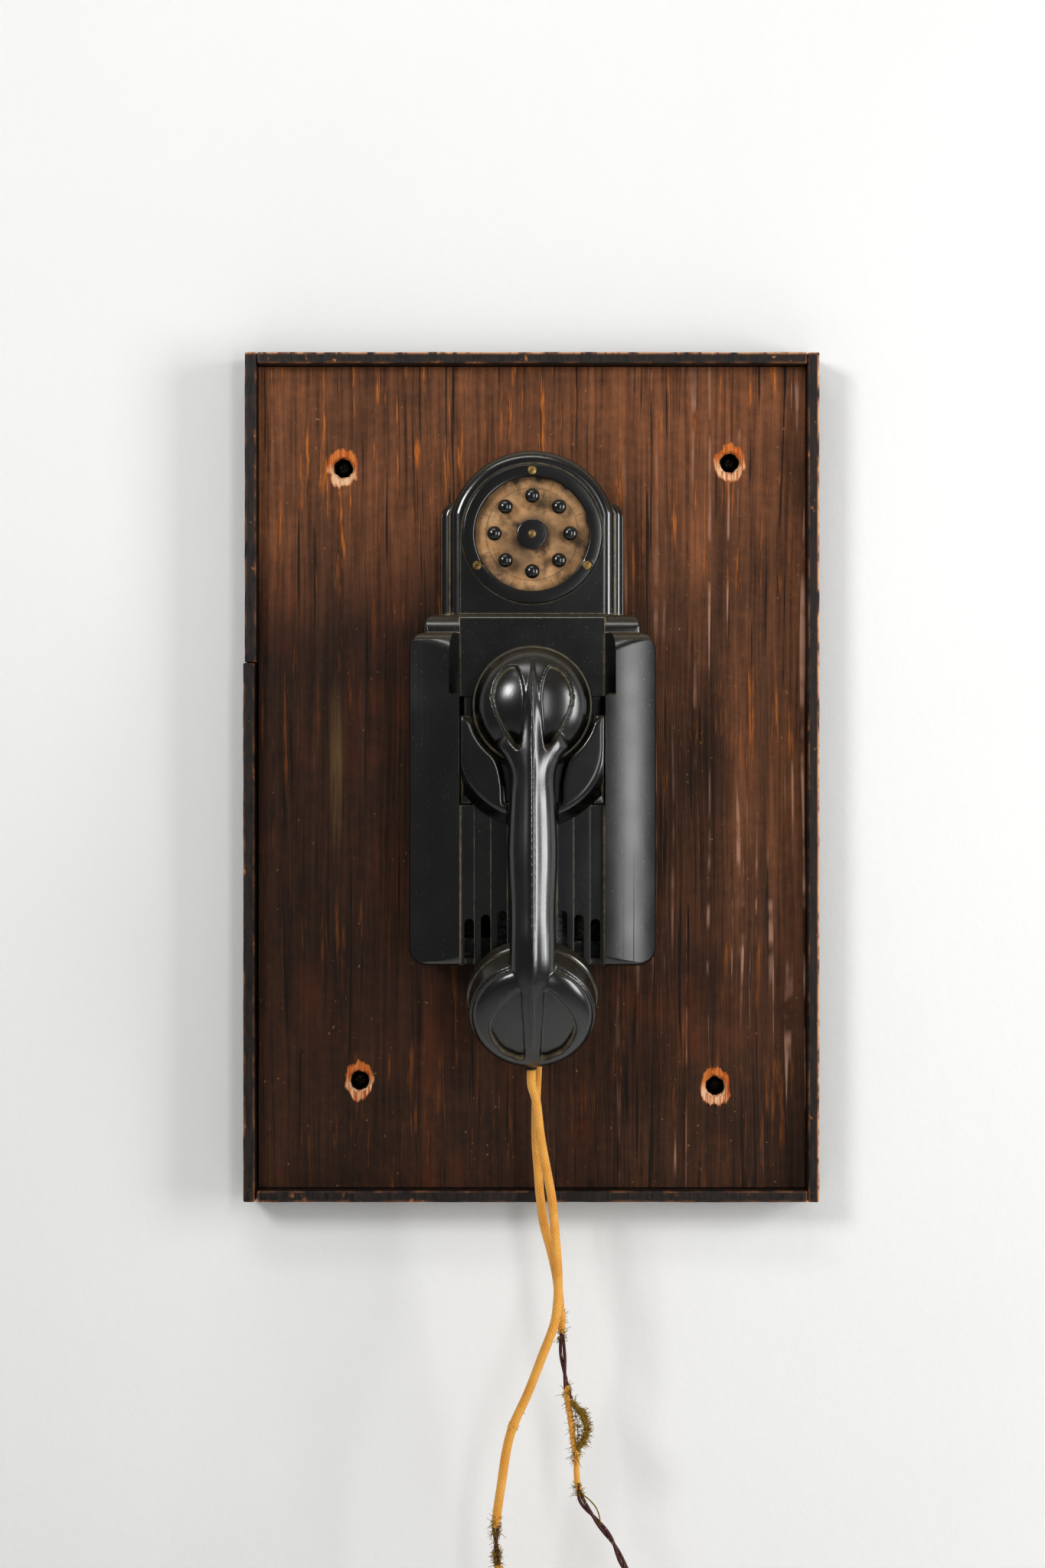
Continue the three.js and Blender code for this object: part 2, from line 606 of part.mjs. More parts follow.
// What an arm's top loses, so that it slopes down towards the notch.
function armTip(side) {
  const outer = side * (CRADLE_HALF + 1);
  const inner = side * (CRADLE_HALF - ARM_TIP_WIDTH);
  const over = CRADLE_TOP + 9;
  const tip = new THREE.Shape();
  tip.moveTo(outer, CRADLE_TOP + 0.5).lineTo(inner, CRADLE_TOP - ARM_TIP_DROP);
  tip.lineTo(inner, over).lineTo(outer, over);
  return slab(tip, CRADLE_LIP_BACK - WALL, REACH / 10);
}

// ---------------------------------------------------------------- works behind the cover
const CHASSIS_BACK = MOULD_BACK;
const CHASSIS_FRONT = CHASSIS_BACK + CHASSIS_THICK;
const ON_CHASSIS = CHASSIS_FRONT + GAP;

function chassisPlate() {
  const [half, low, high] = CHASSIS;
  let plate = slab(rectangle(-half, half, low, high, 5), CHASSIS_BACK, CHASSIS_FRONT);
  for (const [x, z] of CHASSIS_HOLES) plate = plate.subtract(disc(CHASSIS_HOLE_R, 0, 10, x, z, SMALL));
  const cableHole = slab(rectangle(-14, 14, -30, -12, 4), 0, 10);
  add('chassis_plate', plate.subtract(cableHole), STEEL);
}

// Bell-crank: the tail lifts one arm, the other works the contacts.
function hookLever() {
  const arm = TAIL_DEPTH + 2;
  const foot = LEVER_Z - LEVER_DROP;
  const shape = new THREE.Shape();
  shape.moveTo(LEVER_DEPTH, LEVER_Z + LEVER_HUB_R);
  shape.lineTo(arm, TAIL_Z - GAP).lineTo(arm, TAIL_Z - GAP - 4);
  shape.lineTo(LEVER_DEPTH + LEVER_HUB_R, LEVER_Z - 2);
  shape.lineTo(LEVER_DEPTH + LEVER_TIP_HALF, foot).lineTo(LEVER_DEPTH - LEVER_TIP_HALF, foot);
  shape.lineTo(LEVER_DEPTH - LEVER_HUB_R, LEVER_Z);
  const lever = profile(shape, -LEVER_HALF, LEVER_HALF).subtract(pinRod(PIN_R + GAP / 2, 2 * PIN_HALF));
  add('hook_lever', lever, BRASS);
  add('lever_pin', pinRod(PIN_R, PIN_HALF), STEEL);

  const foothold = [-BRACKET_HALF, BRACKET_HALF, ON_CHASSIS, CHASSIS_THICK + ON_CHASSIS];
  const bracket = union([
    block(...foothold, LEVER_Z - 6, LEVER_Z + 6),
    ...[-1, 1].map((side) => sideBlock(
      side, ...CHEEK, ON_CHASSIS, LEVER_DEPTH + 4.5, LEVER_Z - 4.5, LEVER_Z + 4.5,
    )),
  ]);
  add('lever_bracket', bracket.subtract(pinRod(PIN_R + GAP, 2 * PIN_HALF)), STEEL);
}

// A cylinder along X on the lever's axis.
function pinRod(radius, half) {
  const geometry = new THREE.CylinderGeometry(radius, radius, 2 * half, MEDIUM).rotateZ(Math.PI / 2);
  return solid(geometry.translate(0, yAt(LEVER_DEPTH), LEVER_Z));
}

// Three leaf contacts in a clamped pile, worked by the lever's lower arm.
function contactPile() {
  const top = LEVER_Z - LEVER_DROP;
  const first = LEVER_DEPTH + 12.5;
  const leaves = [0, 3, 6].map((step) => block(-3, 3, first + step, first + step + 0.6, top - 13, top + 3));
  const clamp = block(-8, 8, ON_CHASSIS, first + 7.5, top - 24, top - 12);
  add('contact_pile', union([clamp, ...leaves]), INSULATOR);
}

function buzzer() {
  const [x0, x1, z0, z1] = BUZZER;
  const lug = 2;
  const frame = union([
    block(x0, x1, ON_CHASSIS, ON_CHASSIS + SHEET, z0, z1),
    block(x0, x1, ON_CHASSIS, ON_CHASSIS + BUZZER_DEEP, z0, z0 + SHEET),
    block(x0, x0 + lug, ON_CHASSIS, ON_CHASSIS + 6, z1 - 5, z1),
    block(x1 - lug, x1, ON_CHASSIS, ON_CHASSIS + 6, z1 - 5, z1),
  ]);
  add('buzzer_frame', frame, STEEL);
  const foot = z0 + SHEET + GAP;
  const head = z1 - 6;
  const cheek = BUZZER_COIL_R + 1.5;
  const coil = uprightTurned([
    [0, foot], [cheek, foot], [cheek, foot + 1.5], [BUZZER_COIL_R, foot + 1.5], [BUZZER_COIL_R, head - 3],
    [cheek, head - 3], [cheek, head - 1.5], [3, head - 1.5], [3, head], [0, head],
  ], (x0 + x1) / 2, ON_CHASSIS + 11, MEDIUM);
  add('buzzer_coil', coil, ENAMEL);
  const depths = [ON_CHASSIS + SHEET + GAP, ON_CHASSIS + BUZZER_DEEP - 1];
  const top = z1 - 2;
  add('buzzer_armature', block(x0 + lug + GAP, x1 - lug - GAP, ...depths, top - SHEET, top), TINPLATE);
}

function inductionCoil() {
  const [x0, x1, z, depth] = INDUCTION;
  const [half, thick] = INDUCTION_CHEEK;
  const winding = new THREE.CylinderGeometry(INDUCTION_R, INDUCTION_R, x1 - x0 - thick, MEDIUM);
  winding.rotateZ(Math.PI / 2).translate((x0 + x1) / 2, yAt(depth), z);
  const cheeks = [[x0, x0 + thick], [x1 - thick, x1]].map(
    ([a, b]) => block(a, b, depth - half, depth + half, z - half, z + half),
  );
  add('induction_coil', union([solid(winding), ...cheeks]), ENAMEL);
}

function condenser() {
  const can = slab(rectangle(...CONDENSER, 3), ON_CHASSIS, ON_CHASSIS + CONDENSER_DEEP, 1.5, 2);
  add('condenser', can, TINPLATE);
}

function terminals() {
  const front = ON_CHASSIS + TERMINAL_BASE_DEEP;
  const seat = front + GAP;
  const tip = front - 5;
  const [half, low, high] = TERMINAL_BASE;
  let base = slab(rectangle(-half, half, low, high, 2), ON_CHASSIS, front);
  for (let i = 0; i < TERMINAL_COUNT; i += 1) {
    const x = (i - (TERMINAL_COUNT - 1) / 2) * TERMINAL_PITCH;
    base = base.subtract(disc(1.8, tip - 1, front + 1, x, TERMINAL_Z, SMALL));
    const screw = turned([
      [0, front + 2], [2.6, front + 1.8], [3.1, seat], [1.5, seat], [1.5, tip], [0, tip],
    ], x, TERMINAL_Z, SMALL);
    const slot = block(x - 4, x + 4, front + 1.2, front + 3, TERMINAL_Z - 0.4, TERMINAL_Z + 0.4);
    add(`terminal_screw_${i + 1}`, screw.subtract(slot), BRASS);
  }
  add('terminal_block', base, INSULATOR);
}

// ---------------------------------------------------------------- selector
const RING_BACK = RING_SEAT + GAP;
const CARD_FRONT = RING_SEAT;
const CARD_BACK = CARD_FRONT - CARD_THICK;
const PLATE_TOP = CARD_BACK - GAP;
const BUTTON_PLATE_THICK = 4;

function ringScrewPlaces() {
  return [90, 210, 330].map((angle) => {
    const [x, z] = polar(RING_SCREW_PITCH_R, angle);
    return [x, z + SELECTOR_Z];
  });
}

function buttonPlaces() {
  return Array.from({ length: BUTTON_COUNT }, (_, i) => {
    const [x, z] = polar(BUTTON_PITCH_R, 90 + (i * 360) / BUTTON_COUNT);
    return [x, z + SELECTOR_Z];
  });
}

// A slotted screw whose head sits between two depths.
function slottedScrew(x, z, headR, shankR, headBack, headFront, tip, turn) {
  const screw = turned([
    [0, headFront], [headR * 0.9, headFront], [headR, headFront - 0.3], [headR, headBack],
    [shankR, headBack], [shankR, tip], [0, tip],
  ], x, z, SMALL);
  const slot = new THREE.BoxGeometry(headR * 3, 1.4, 0.7).rotateY(THREE.MathUtils.degToRad(turn));
  return screw.subtract(solid(slot.translate(x, yAt(headFront), z)));
}

function selector() {
  const ringFront = RING_BACK + RING_THICK;
  let ring = turned([
    [RING_INNER, RING_BACK], [RING_OUTER, RING_BACK], [RING_OUTER, ringFront - 1],
    [RING_OUTER - 1, ringFront], [RING_INNER + 0.6, ringFront], [RING_INNER, ringFront - 0.6],
    [RING_INNER, RING_BACK],
  ], 0, SELECTOR_Z, FINE + 8);
  const sunk = ringFront - 1.4;
  ringScrewPlaces().forEach(([x, z], i) => {
    ring = ring.subtract(disc(RING_SCREW_HEAD_R + GAP, sunk, ringFront + 1, x, z, SMALL));
    ring = ring.subtract(disc(RING_SCREW_SHANK_R + GAP, RING_BACK - 1, ringFront + 1, x, z, SMALL));
    const heights = [sunk + GAP, ringFront + 0.5, RING_SEAT - WALL];
    const screw = slottedScrew(x, z, RING_SCREW_HEAD_R, RING_SCREW_SHANK_R, ...heights, 25 + 60 * i);
    add(`ring_screw_${i + 1}`, screw, BRASS);
  });
  add('selector_ring', ring, BAKELITE);

  let card = disc(THROAT_R - GAP, CARD_BACK, CARD_FRONT, 0, SELECTOR_Z, FINE);
  let plate = disc(THROAT_R - GAP, PLATE_TOP - BUTTON_PLATE_THICK, PLATE_TOP, 0, SELECTOR_Z, FINE);
  const well = [-REACH / 10, REACH / 10];
  buttonPlaces().forEach(([x, z], i) => {
    card = card.subtract(disc(BUTTON_STEM_R + GAP, ...well, x, z, SMALL));
    plate = plate.subtract(disc(BUTTON_STEM_R + GAP, ...well, x, z, SMALL));
    add(`button_${i + 1}`, button(x, z), BAKELITE);
  });
  const middle = disc(CLAMP_SCREW_SHANK_R + GAP, ...well, 0, SELECTOR_Z, SMALL);
  add('dial_card', card.subtract(middle), PAPER);
  add('button_plate', plate.subtract(middle), INSULATOR);

  const clampFront = CARD_FRONT + GAP + CLAMP_THICK;
  const clamp = turned([
    [0, clampFront], [CLAMP_R - 0.5, clampFront], [CLAMP_R, clampFront - 0.5], [CLAMP_R, CARD_FRONT + GAP],
    [0, CARD_FRONT + GAP],
  ], 0, SELECTOR_Z);
  add('clamp_disc', clamp.subtract(middle), BAKELITE);
  const heights = [clampFront + GAP, clampFront + 1.4, STAR_FRONT + 3];
  const screw = slottedScrew(0, SELECTOR_Z, CLAMP_SCREW_HEAD_R, CLAMP_SCREW_SHANK_R, ...heights, 15);
  add('clamp_screw', screw, BRASS);
}

// A domed head on a stem, with a collar that keeps it behind the button plate.
function button(x, z) {
  const under = CARD_FRONT + BUTTON_TRAVEL + 0.4;
  const top = CARD_FRONT + BUTTON_HEIGHT;
  const collar = PLATE_TOP - BUTTON_PLATE_THICK - GAP;
  const head = [];
  const steps = 4;
  for (let i = 0; i <= steps; i += 1) {
    const angle = (Math.PI / 2) * (i / steps);
    head.push([BUTTON_HEAD_R * Math.sin(angle), under + 0.8 + (top - under - 0.8) * Math.cos(angle)]);
  }
  return turned([
    ...head, [BUTTON_HEAD_R - 0.4, under], [BUTTON_STEM_R, under], [BUTTON_STEM_R, collar],
    [BUTTON_STEM_R + 1.2, collar], [BUTTON_STEM_R + 1.2, collar - 1.5], [BUTTON_STEM_R - 1, collar - 3],
    [0, collar - 3],
  ], x, z, SMALL);
}

// Contacts under the buttons, and the star of leaf springs that returns them.
const BOARD_BACK = PLATE_FRONT + GAP;
const STAR_BACK = 13.2;
const STAR_FRONT = STAR_BACK + 0.6;

function contacts() {
  let board = disc(RING_INNER - 1.2, BOARD_BACK + 3, BOARD_BACK + 5, 0, SELECTOR_Z, FINE);
  let star = disc(9, STAR_BACK, STAR_FRONT, 0, SELECTOR_Z, MEDIUM);
  star = star.add(disc(4, BOARD_BACK + 5 + GAP, STAR_BACK, 0, SELECTOR_Z, SMALL));
  for (const [x, z] of buttonPlaces()) {
    board = board.add(disc(1.6, BOARD_BACK + 4, BOARD_BACK + 6.5, x, z, SMALL));
    const angle = Math.atan2(z - SELECTOR_Z, x);
    const finger = new THREE.BoxGeometry(BUTTON_PITCH_R - 4, STAR_FRONT - STAR_BACK, 4);
    finger.translate(BUTTON_PITCH_R / 2 + 4, 0, 0).rotateY(-angle);
    star = star.add(solid(finger.translate(0, yAt((STAR_BACK + STAR_FRONT) / 2), SELECTOR_Z)));
  }
  for (const angle of [30, 150, 270]) {
    const [x, z] = polar(RING_INNER - 5.2, angle);
    board = board.add(disc(2.5, BOARD_BACK, BOARD_BACK + 3.5, x, z + SELECTOR_Z, SMALL));
  }
  add('contact_board', board, INSULATOR);
  add('spring_star', star, BRASS);
}

// ---------------------------------------------------------------- handset
// The mouthpiece's own frame: its back rim at the origin, tilted up towards the wall.
const mouthFrame = new THREE.Matrix4()
  .makeTranslation(0, yAt(MOUTH_DEPTH), MOUTH_Z)
  .multiply(new THREE.Matrix4().makeRotationX(MOUTH_TILT))
  .multiply(new THREE.Matrix4().makeTranslation(0, BOARD_THICK, 0));
const tilted = (body) => solid(geometryOf(body).applyMatrix4(mouthFrame));

// Half of a bun: a rim, then a quarter ellipse to its top on the axis.
function bun(radius, back, rim, top, steps = 5) {
  const points = [[0, back], [radius, back], [radius, rim - 0.5]];
  for (let i = 0; i <= steps; i += 1) {
    const angle = (Math.PI / 2) * (i / steps);
    points.push([(radius - 0.8) * Math.cos(angle), rim + (top - rim) * Math.sin(angle)]);
  }
  points[points.length - 1][0] = 0;
  return points;
}

// The handle and its keel, from over the receiver to the tip under the transmitter:
// height, depth of the ridge, depth of the back, half width.
const HANDLE = [
  [63, 67.0, 58, 2.0],
  [50, 75.0, 58, 4.5],
  [38, 77.4, 58, 7.5],
  [26, 78.6, 57.5, 14],
  [17, 79.4, 57, 19.3],
  [9, 80.6, 57, 14.9],
  [1, 82.3, 58.5, 12.4],
  [-14, 85.4, 64.2, 12.6],
  [-40, 89.8, 67.2, 13.6],
  [-68, 93, 71.5, 12.4],
  [-87, 95, 76, 12.2],
  [-104, 93.6, 74, 12.2],
  [-117, 88.6, 66, 9.5],
  [-131, 81.6, 60, 5.8],
  [-144, 71.5, 53, 4.4],
  [-155.5, 57.5, 49, 2.4],
];
// Its section, from the middle of the back to the ridge: share of the half width, share of the way forward.
const SECTION = [
  [0, 0], [0.45, 0], [0.78, 0.1], [1, 0.38], [0.93, 0.57], [0.62, 0.79], [0.3, 0.94], [0.12, 1],
];

function handleBody() {
  const half = SECTION.map(([u, v]) => new THREE.Vector2(u, v));
  const mirror = SECTION.slice(1).reverse().map(([u, v]) => new THREE.Vector2(-u, v));
  const shape = new THREE.Shape([...half, ...mirror]);
  const steps = HANDLE.length + 4;
  const geometry = new THREE.ExtrudeGeometry(shape, { depth: 1, steps, bevelEnabled: false });
  const through = (pick) => new THREE.CatmullRomCurve3(
    HANDLE.map((row) => new THREE.Vector3(...pick(row))),
  );
  const depths = through(([z, front, back]) => [z, front, back]);
  const widths = through(([z, , , wide]) => [z, wide, 0]);
  const place = geometry.attributes.position;
  for (let i = 0; i < place.count; i += 1) {
    const along = THREE.MathUtils.clamp(place.getZ(i), 0, 1);
    const { x: z, y: front, z: back } = depths.getPoint(along);
    const { y: wide } = widths.getPoint(along);
    place.setXYZ(i, place.getX(i) * wide, yAt(back + (front - back) * place.getY(i)), z);
  }
  return solid(geometry);
}

// The hollows beside the keel, seen from the front: a teardrop over the receiver with its point down,
// and one over the transmitter with its point up. Side to side, height.
const EAR_HOLLOW = [
  [7.3, 14.5], [5.2, 30], [5, 47], [9.2, 59], [17.6, 54.4], [21.4, 41], [15.2, 24.5],
];
const MOUTH_HOLLOW = [
  [7, -111.5], [5.8, -124], [5, -138], [5, -150.5], [12, -149], [18.5, -144.5], [23.2, -133], [18, -121],
];

// What a hollow takes away: all that stands in front of its floor, inside its outline.
function hollow(points, side, floor) {
  const turns = points.map(([x, z]) => new THREE.Vector2(side * x, z));
  const outline = new THREE.SplineCurve([...turns, turns[0]]).getPoints(36).slice(0, -1);
  return slab(new THREE.Shape(outline), MOUTH_DEPTH - 10, REACH).subtract(floor);
}

// A hollow's domed floor, and everything behind it.
function hollowFloor(radius, rim, top) {
  const points = bun(radius + 0.8, 0, rim, top);
  points[1][0] = points[2][0] = radius + 12;
  points[2][1] = rim;
  return points;
}

function handset() {
  const domeBack = EAR_CAP_FRONT + GAP;
  const dome = turned(bun(EAR_DOME_R, domeBack, domeBack + 2.9, EAR_DOME_TOP), 0, EAR_Z, FINE);
  const bulbBack = MOUTH_CAP_THICK + GAP;
  const band = bulbBack + BULB_BAND;
  const bulbRim = band + BULB_GROOVE;
  const bulb = tilted(turned([
    [0, bulbBack], [BULB_R, bulbBack], [BULB_R - 0.6, band],
    [BULB_R - 1.9, band + 0.2], [BULB_R - 1.9, bulbRim],
    ...bun(BULB_R - 0.8, 0, bulbRim, bulbRim + BULB_DOME).slice(3),
  ], 0, 0, FINE));
  let shell = union([dome, bulb, handleBody()]);
  const earFloor = turned(hollowFloor(EAR_DOME_R - 3.6, domeBack + 2.9, EAR_DOME_TOP - 1.7), 0, EAR_Z, FINE);
  const mouthFloor = tilted(turned(
    hollowFloor(BULB_R - 3, bulbRim - 2.7, bulbRim + BULB_DOME - 3.5), 0, 0, FINE,
  ));
  for (const side of [-1, 1]) {
    shell = shell.subtract(hollow(EAR_HOLLOW, side, earFloor));
    shell = shell.subtract(hollow(MOUTH_HOLLOW, side, mouthFloor));
  }
  shell = shell.subtract(disc(CAVITY_R, EAR_CAP_FRONT - 1, EAR_CAP_FRONT + 10, 0, EAR_Z, MEDIUM));
  const mouthCavity = disc(MOUTH_CAVITY_R, MOUTH_CAP_THICK - 1, MOUTH_CAP_THICK + 9, 0, 0, MEDIUM);
  shell = shell.subtract(tilted(mouthCavity));
  const wireWay = new THREE.CatmullRomCurve3([
    [60, 24], [66, 8], [74, -14], [78.5, -42], [83, -70], [84, -88], [78, -100], [72, -108],
  ].map(([depth, z]) => new THREE.Vector3(0, yAt(depth), z)));
  shell = shell.subtract(tube(wireWay, 2.4, 12, 6));
  shell = shell.subtract(rod(BUSH_R + GAP, CORD_EXIT_X, CORD_EXIT_DEPTH, HANDSET_TIP_Z - 10, MOUTH_Z - 20));
  add('handset_shell', shell, BAKELITE);

  let cap = turned([
    [0, EAR_CAP_BACK + 2.2], [EAR_CAP_R * 0.37, EAR_CAP_BACK + 1.7], [EAR_CAP_R * 0.74, EAR_CAP_BACK + 0.5],
    [EAR_CAP_R - 2.6, EAR_CAP_BACK],
    [EAR_CAP_R, EAR_CAP_BACK + 2.2], [EAR_CAP_R, EAR_CAP_FRONT], [EAR_CAP_R - 5.2, EAR_CAP_FRONT],
    [EAR_CAP_R - 5.2, EAR_CAP_BACK + 5.5], [0, EAR_CAP_BACK + 5.5],
  ], 0, EAR_Z, FINE);
  cap = drilled(cap, EAR_Z, 6, 8);
  add('ear_cap', cap, BAKELITE);
  const capsuleBack = EAR_CAP_BACK + 5.5 + GAP;
  add('receiver_capsule', turned([
    [0, capsuleBack], [CAVITY_R - 0.8, capsuleBack], [CAVITY_R - 0.8, capsuleBack + 8],
    [CAVITY_R - 7, capsuleBack + 11], [CAVITY_R - 7, capsuleBack + 14.5], [0, capsuleBack + 14.5],
  ], 0, EAR_Z, MEDIUM), TINPLATE);

  const mouth = new THREE.Group();
  mouth.applyMatrix4(mouthFrame);
  group.add(mouth);
  let mouthCap = turned([
    [0, -MOUTH_FACE_RISE], [MOUTH_CAP_R * 0.37, -MOUTH_FACE_RISE + 0.5], [MOUTH_CAP_R * 0.72, -1.2],
    [MOUTH_CAP_R - 2, 0],
    [MOUTH_CAP_R, 1.8], [MOUTH_CAP_R, MOUTH_CAP_THICK], [MOUTH_CAP_R - 6, MOUTH_CAP_THICK],
    [MOUTH_CAP_R - 6, 2.6], [0, 0.8],
  ], 0, 0, FINE);
  mouthCap = drilled(mouthCap, 0, 8, 13);
  add('mouthpiece_cap', mouthCap, BAKELITE, mouth);
  add('transmitter_capsule', turned([
    [0, 3], [MOUTH_CAVITY_R - 0.6, 3], [MOUTH_CAVITY_R - 0.6, 9], [MOUTH_CAVITY_R - 6, 14],
    [0, 16.5],
  ], 0, 0, MEDIUM), TINPLATE, mouth);

  add('handset_grommet', uprightTurned([
    [0, CORD_TOP_Z], [CORD_R + 0.3, CORD_TOP_Z], [CORD_R + 0.9, CORD_TOP_Z + 3], [BUSH_R, CORD_TOP_Z + 5],
    [BUSH_R, CORD_TOP_Z + 9], [0, CORD_TOP_Z + 9],
  ], CORD_EXIT_X, CORD_EXIT_DEPTH, SMALL), RUBBER);
}

// Sound holes through a cap: one in the middle and a ring of them.
function drilled(cap, z, count, ringR) {
  let body = cap.subtract(disc(1.6, -20, 80, 0, z, 6));
  for (let i = 0; i < count; i += 1) {
    const [x, up] = polar(ringR, (360 * i) / count);
    body = body.subtract(disc(1.5, -20, 80, x, z + up, 6));
  }
  return body;
}

// ---------------------------------------------------------------- cord
// From the handset's grommet down the front strand, round the loop, and up the back strand to the housing.
const CORD_ROUTE = [
  [CORD_EXIT_X, 49.7, -157.5], [-0.3, 49.6, -166], [2.2, 49, -175], [4.8, 46.5, -196], [8.8, 44.5, -218],
  [10.8, 44, -230], [11.9, 44, -243], [13.3, 44, -259], [13.9, 44.5, -270], [13.8, 45.5, -282],
  [11.8, 46, -295.5], [4.8, 46, -314], [-2.6, 45.5, -333], [-10, 45, -349.5], [-13.8, 44.5, -363],
  [-16.7, 44, -382], [-19.4, 43.5, -401], [-19.6, 43, -415], [-18.3, 42.5, -428], [-14.5, 42, -445],
  [-8, 41, -461], [2.5, 40, -475], [17, 39, -484], [33, 38, -485.5], [47, 37, -479.5], [57, 36, -468],
  [60.5, 35.5, -454], [57.5, 35, -440.5], [50, 35, -429], [43.2, 35, -415], [34.4, 35, -403.5],
  [26.6, 35, -392.5], [24.2, 35.2, -380], [24, 35.4, -366], [23, 35.6, -350], [18.8, 35.8, -332],
  [16.6, 36.2, -314], [15.7, 37, -296], [14.6, 37.8, -283], [13.2, 38, -271], [10.4, 37.6, -258],
  [6.4, 37, -243], [4.4, 36.5, -229], [3.2, 36, -214], [2, 36, -197], [2, 34, -178], [2.8, 29, -160],
  [3.2, 24, -144], [3.1, 21, -129], [CORD_BUSH_X, 20, -118], [CORD_BUSH_X, 20, -109.5],
];

function tube(curve, radius, steps, sides) {
  const ring = new THREE.Shape(Array.from({ length: sides }, (_, i) => {
    const [x, y] = polar(radius, (360 * i) / sides);
    return new THREE.Vector2(x, y);
  }));
  return solid(new THREE.ExtrudeGeometry(ring, { extrudePath: curve, steps, bevelEnabled: false }));
}

function handsetCord() {
  const points = CORD_ROUTE.map(([x, depth, z]) => new THREE.Vector3(x, yAt(depth), z));
  add('handset_cord', tube(new THREE.CatmullRomCurve3(points), CORD_R, 66, 8), CLOTH);
  const top = COVER_BOTTOM + WALL + 2;
  const foot = COVER_BOTTOM - 7.7;
  add('housing_grommet', uprightTurned([
    [0, top], [CORD_BUSH_R, top], [CORD_BUSH_R, COVER_BOTTOM - 2], [CORD_R + 0.6, foot], [0, foot],
  ], CORD_BUSH_X, CORD_BUSH_DEPTH, MEDIUM), RUBBER);
}

board();
backPlate();
plateScrews();
neckHousing();
frontCover();
coverScrews();
chassisPlate();
hookLever();
contactPile();
buzzer();
inductionCoil();
condenser();
terminals();
hookCradle();
selector();
contacts();
handset();
handsetCord();

export default group;
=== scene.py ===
"""Finished looks for a moulded wall intercom telephone on its stained pine board.

Forms are drawn in millimetres as the wall is seen from the front: X to the right, Y up and Z out of
the wall, measured from the board panel's face. One matrix puts them in the part's own frame.
"""

import math
import random

import bmesh
import bpy
from bpy.props import FloatProperty, FloatVectorProperty, PointerProperty
from mathutils import Matrix, Vector, noise


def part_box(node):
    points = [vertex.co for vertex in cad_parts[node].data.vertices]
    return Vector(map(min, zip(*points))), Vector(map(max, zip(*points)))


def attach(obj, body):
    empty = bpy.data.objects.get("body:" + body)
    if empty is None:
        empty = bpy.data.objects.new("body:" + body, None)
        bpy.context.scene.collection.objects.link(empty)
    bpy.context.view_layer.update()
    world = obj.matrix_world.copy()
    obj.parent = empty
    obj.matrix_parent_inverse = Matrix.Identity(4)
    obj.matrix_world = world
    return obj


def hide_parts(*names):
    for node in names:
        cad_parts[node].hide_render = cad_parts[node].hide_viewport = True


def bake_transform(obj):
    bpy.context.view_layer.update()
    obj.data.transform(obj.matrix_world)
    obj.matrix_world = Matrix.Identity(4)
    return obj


bl_info = {
    "name": "Wall telephone finish",
    "version": (1, 0, 0),
    "blender": (4, 5, 0),
    "location": "View3D > Sidebar > Telephone",
    "description": "Builds the finished pieces of a wall intercom telephone around its packed frame",
    "category": "Object",
}

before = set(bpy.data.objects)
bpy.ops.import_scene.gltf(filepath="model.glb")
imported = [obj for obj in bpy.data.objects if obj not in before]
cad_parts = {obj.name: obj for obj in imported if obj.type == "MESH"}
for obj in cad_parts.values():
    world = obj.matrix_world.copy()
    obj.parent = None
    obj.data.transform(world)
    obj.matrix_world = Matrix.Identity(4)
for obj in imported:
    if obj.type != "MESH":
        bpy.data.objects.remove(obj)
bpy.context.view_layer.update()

MM = 0.001
BOARD_THICK = 16
# A form's X, Y and Z in millimetres to the part's frame in metres, Z out of the wall to -Y.
FACE = Matrix.Diagonal((MM, MM, MM, 1)) @ Matrix(
    ((1, 0, 0, 0), (0, 0, -1, -BOARD_THICK), (0, 1, 0, 0), (0, 0, 0, 1))
)
FRONT = FACE.inverted()


# ---------------------------------------------------------------- measuring the frame
def face_box(name):
    """A node's lowest and highest corners, in millimetres as the wall is seen."""
    corners = [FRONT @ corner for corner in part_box(name)]
    return [Vector([pick(c[k] for c in corners) for k in range(3)]) for pick in (min, max)]


def middle(name):
    low, high = face_box(name)
    return (low + high) / 2


# ---------------------------------------------------------------- small helpers
def linear(code):
    """A hex colour as linear red, green and blue, and full alpha."""
    parts = [int(code[i:i + 2], 16) / 255 for i in (1, 3, 5)]
    return (*(c / 12.92 if c <= 0.04045 else ((c + 0.055) / 1.055) ** 2.4 for c in parts), 1.0)


def arc(x, y, radius, start, end, steps):
    turns = [math.radians(start + (end - start) * i / steps) for i in range(steps + 1)]
    return [(x + radius * math.cos(t), y + radius * math.sin(t)) for t in turns]


def rounded(x0, x1, y0, y1, radius, steps=8):
    """A rectangle with round corners, or with a radius for each corner from the lower right."""
    radii = radius if isinstance(radius, tuple) else (radius,) * 4
    corners = ((x1, y0, -90, -1, 1), (x1, y1, 0, -1, -1), (x0, y1, 90, 1, -1), (x0, y0, 180, 1, 1))
    points = []
    for (x, y, start, across, up), r in zip(corners, radii):
        points += arc(x + across * r, y + up * r, r, start, start + 90, steps) if r else [(x, y)]
    return points


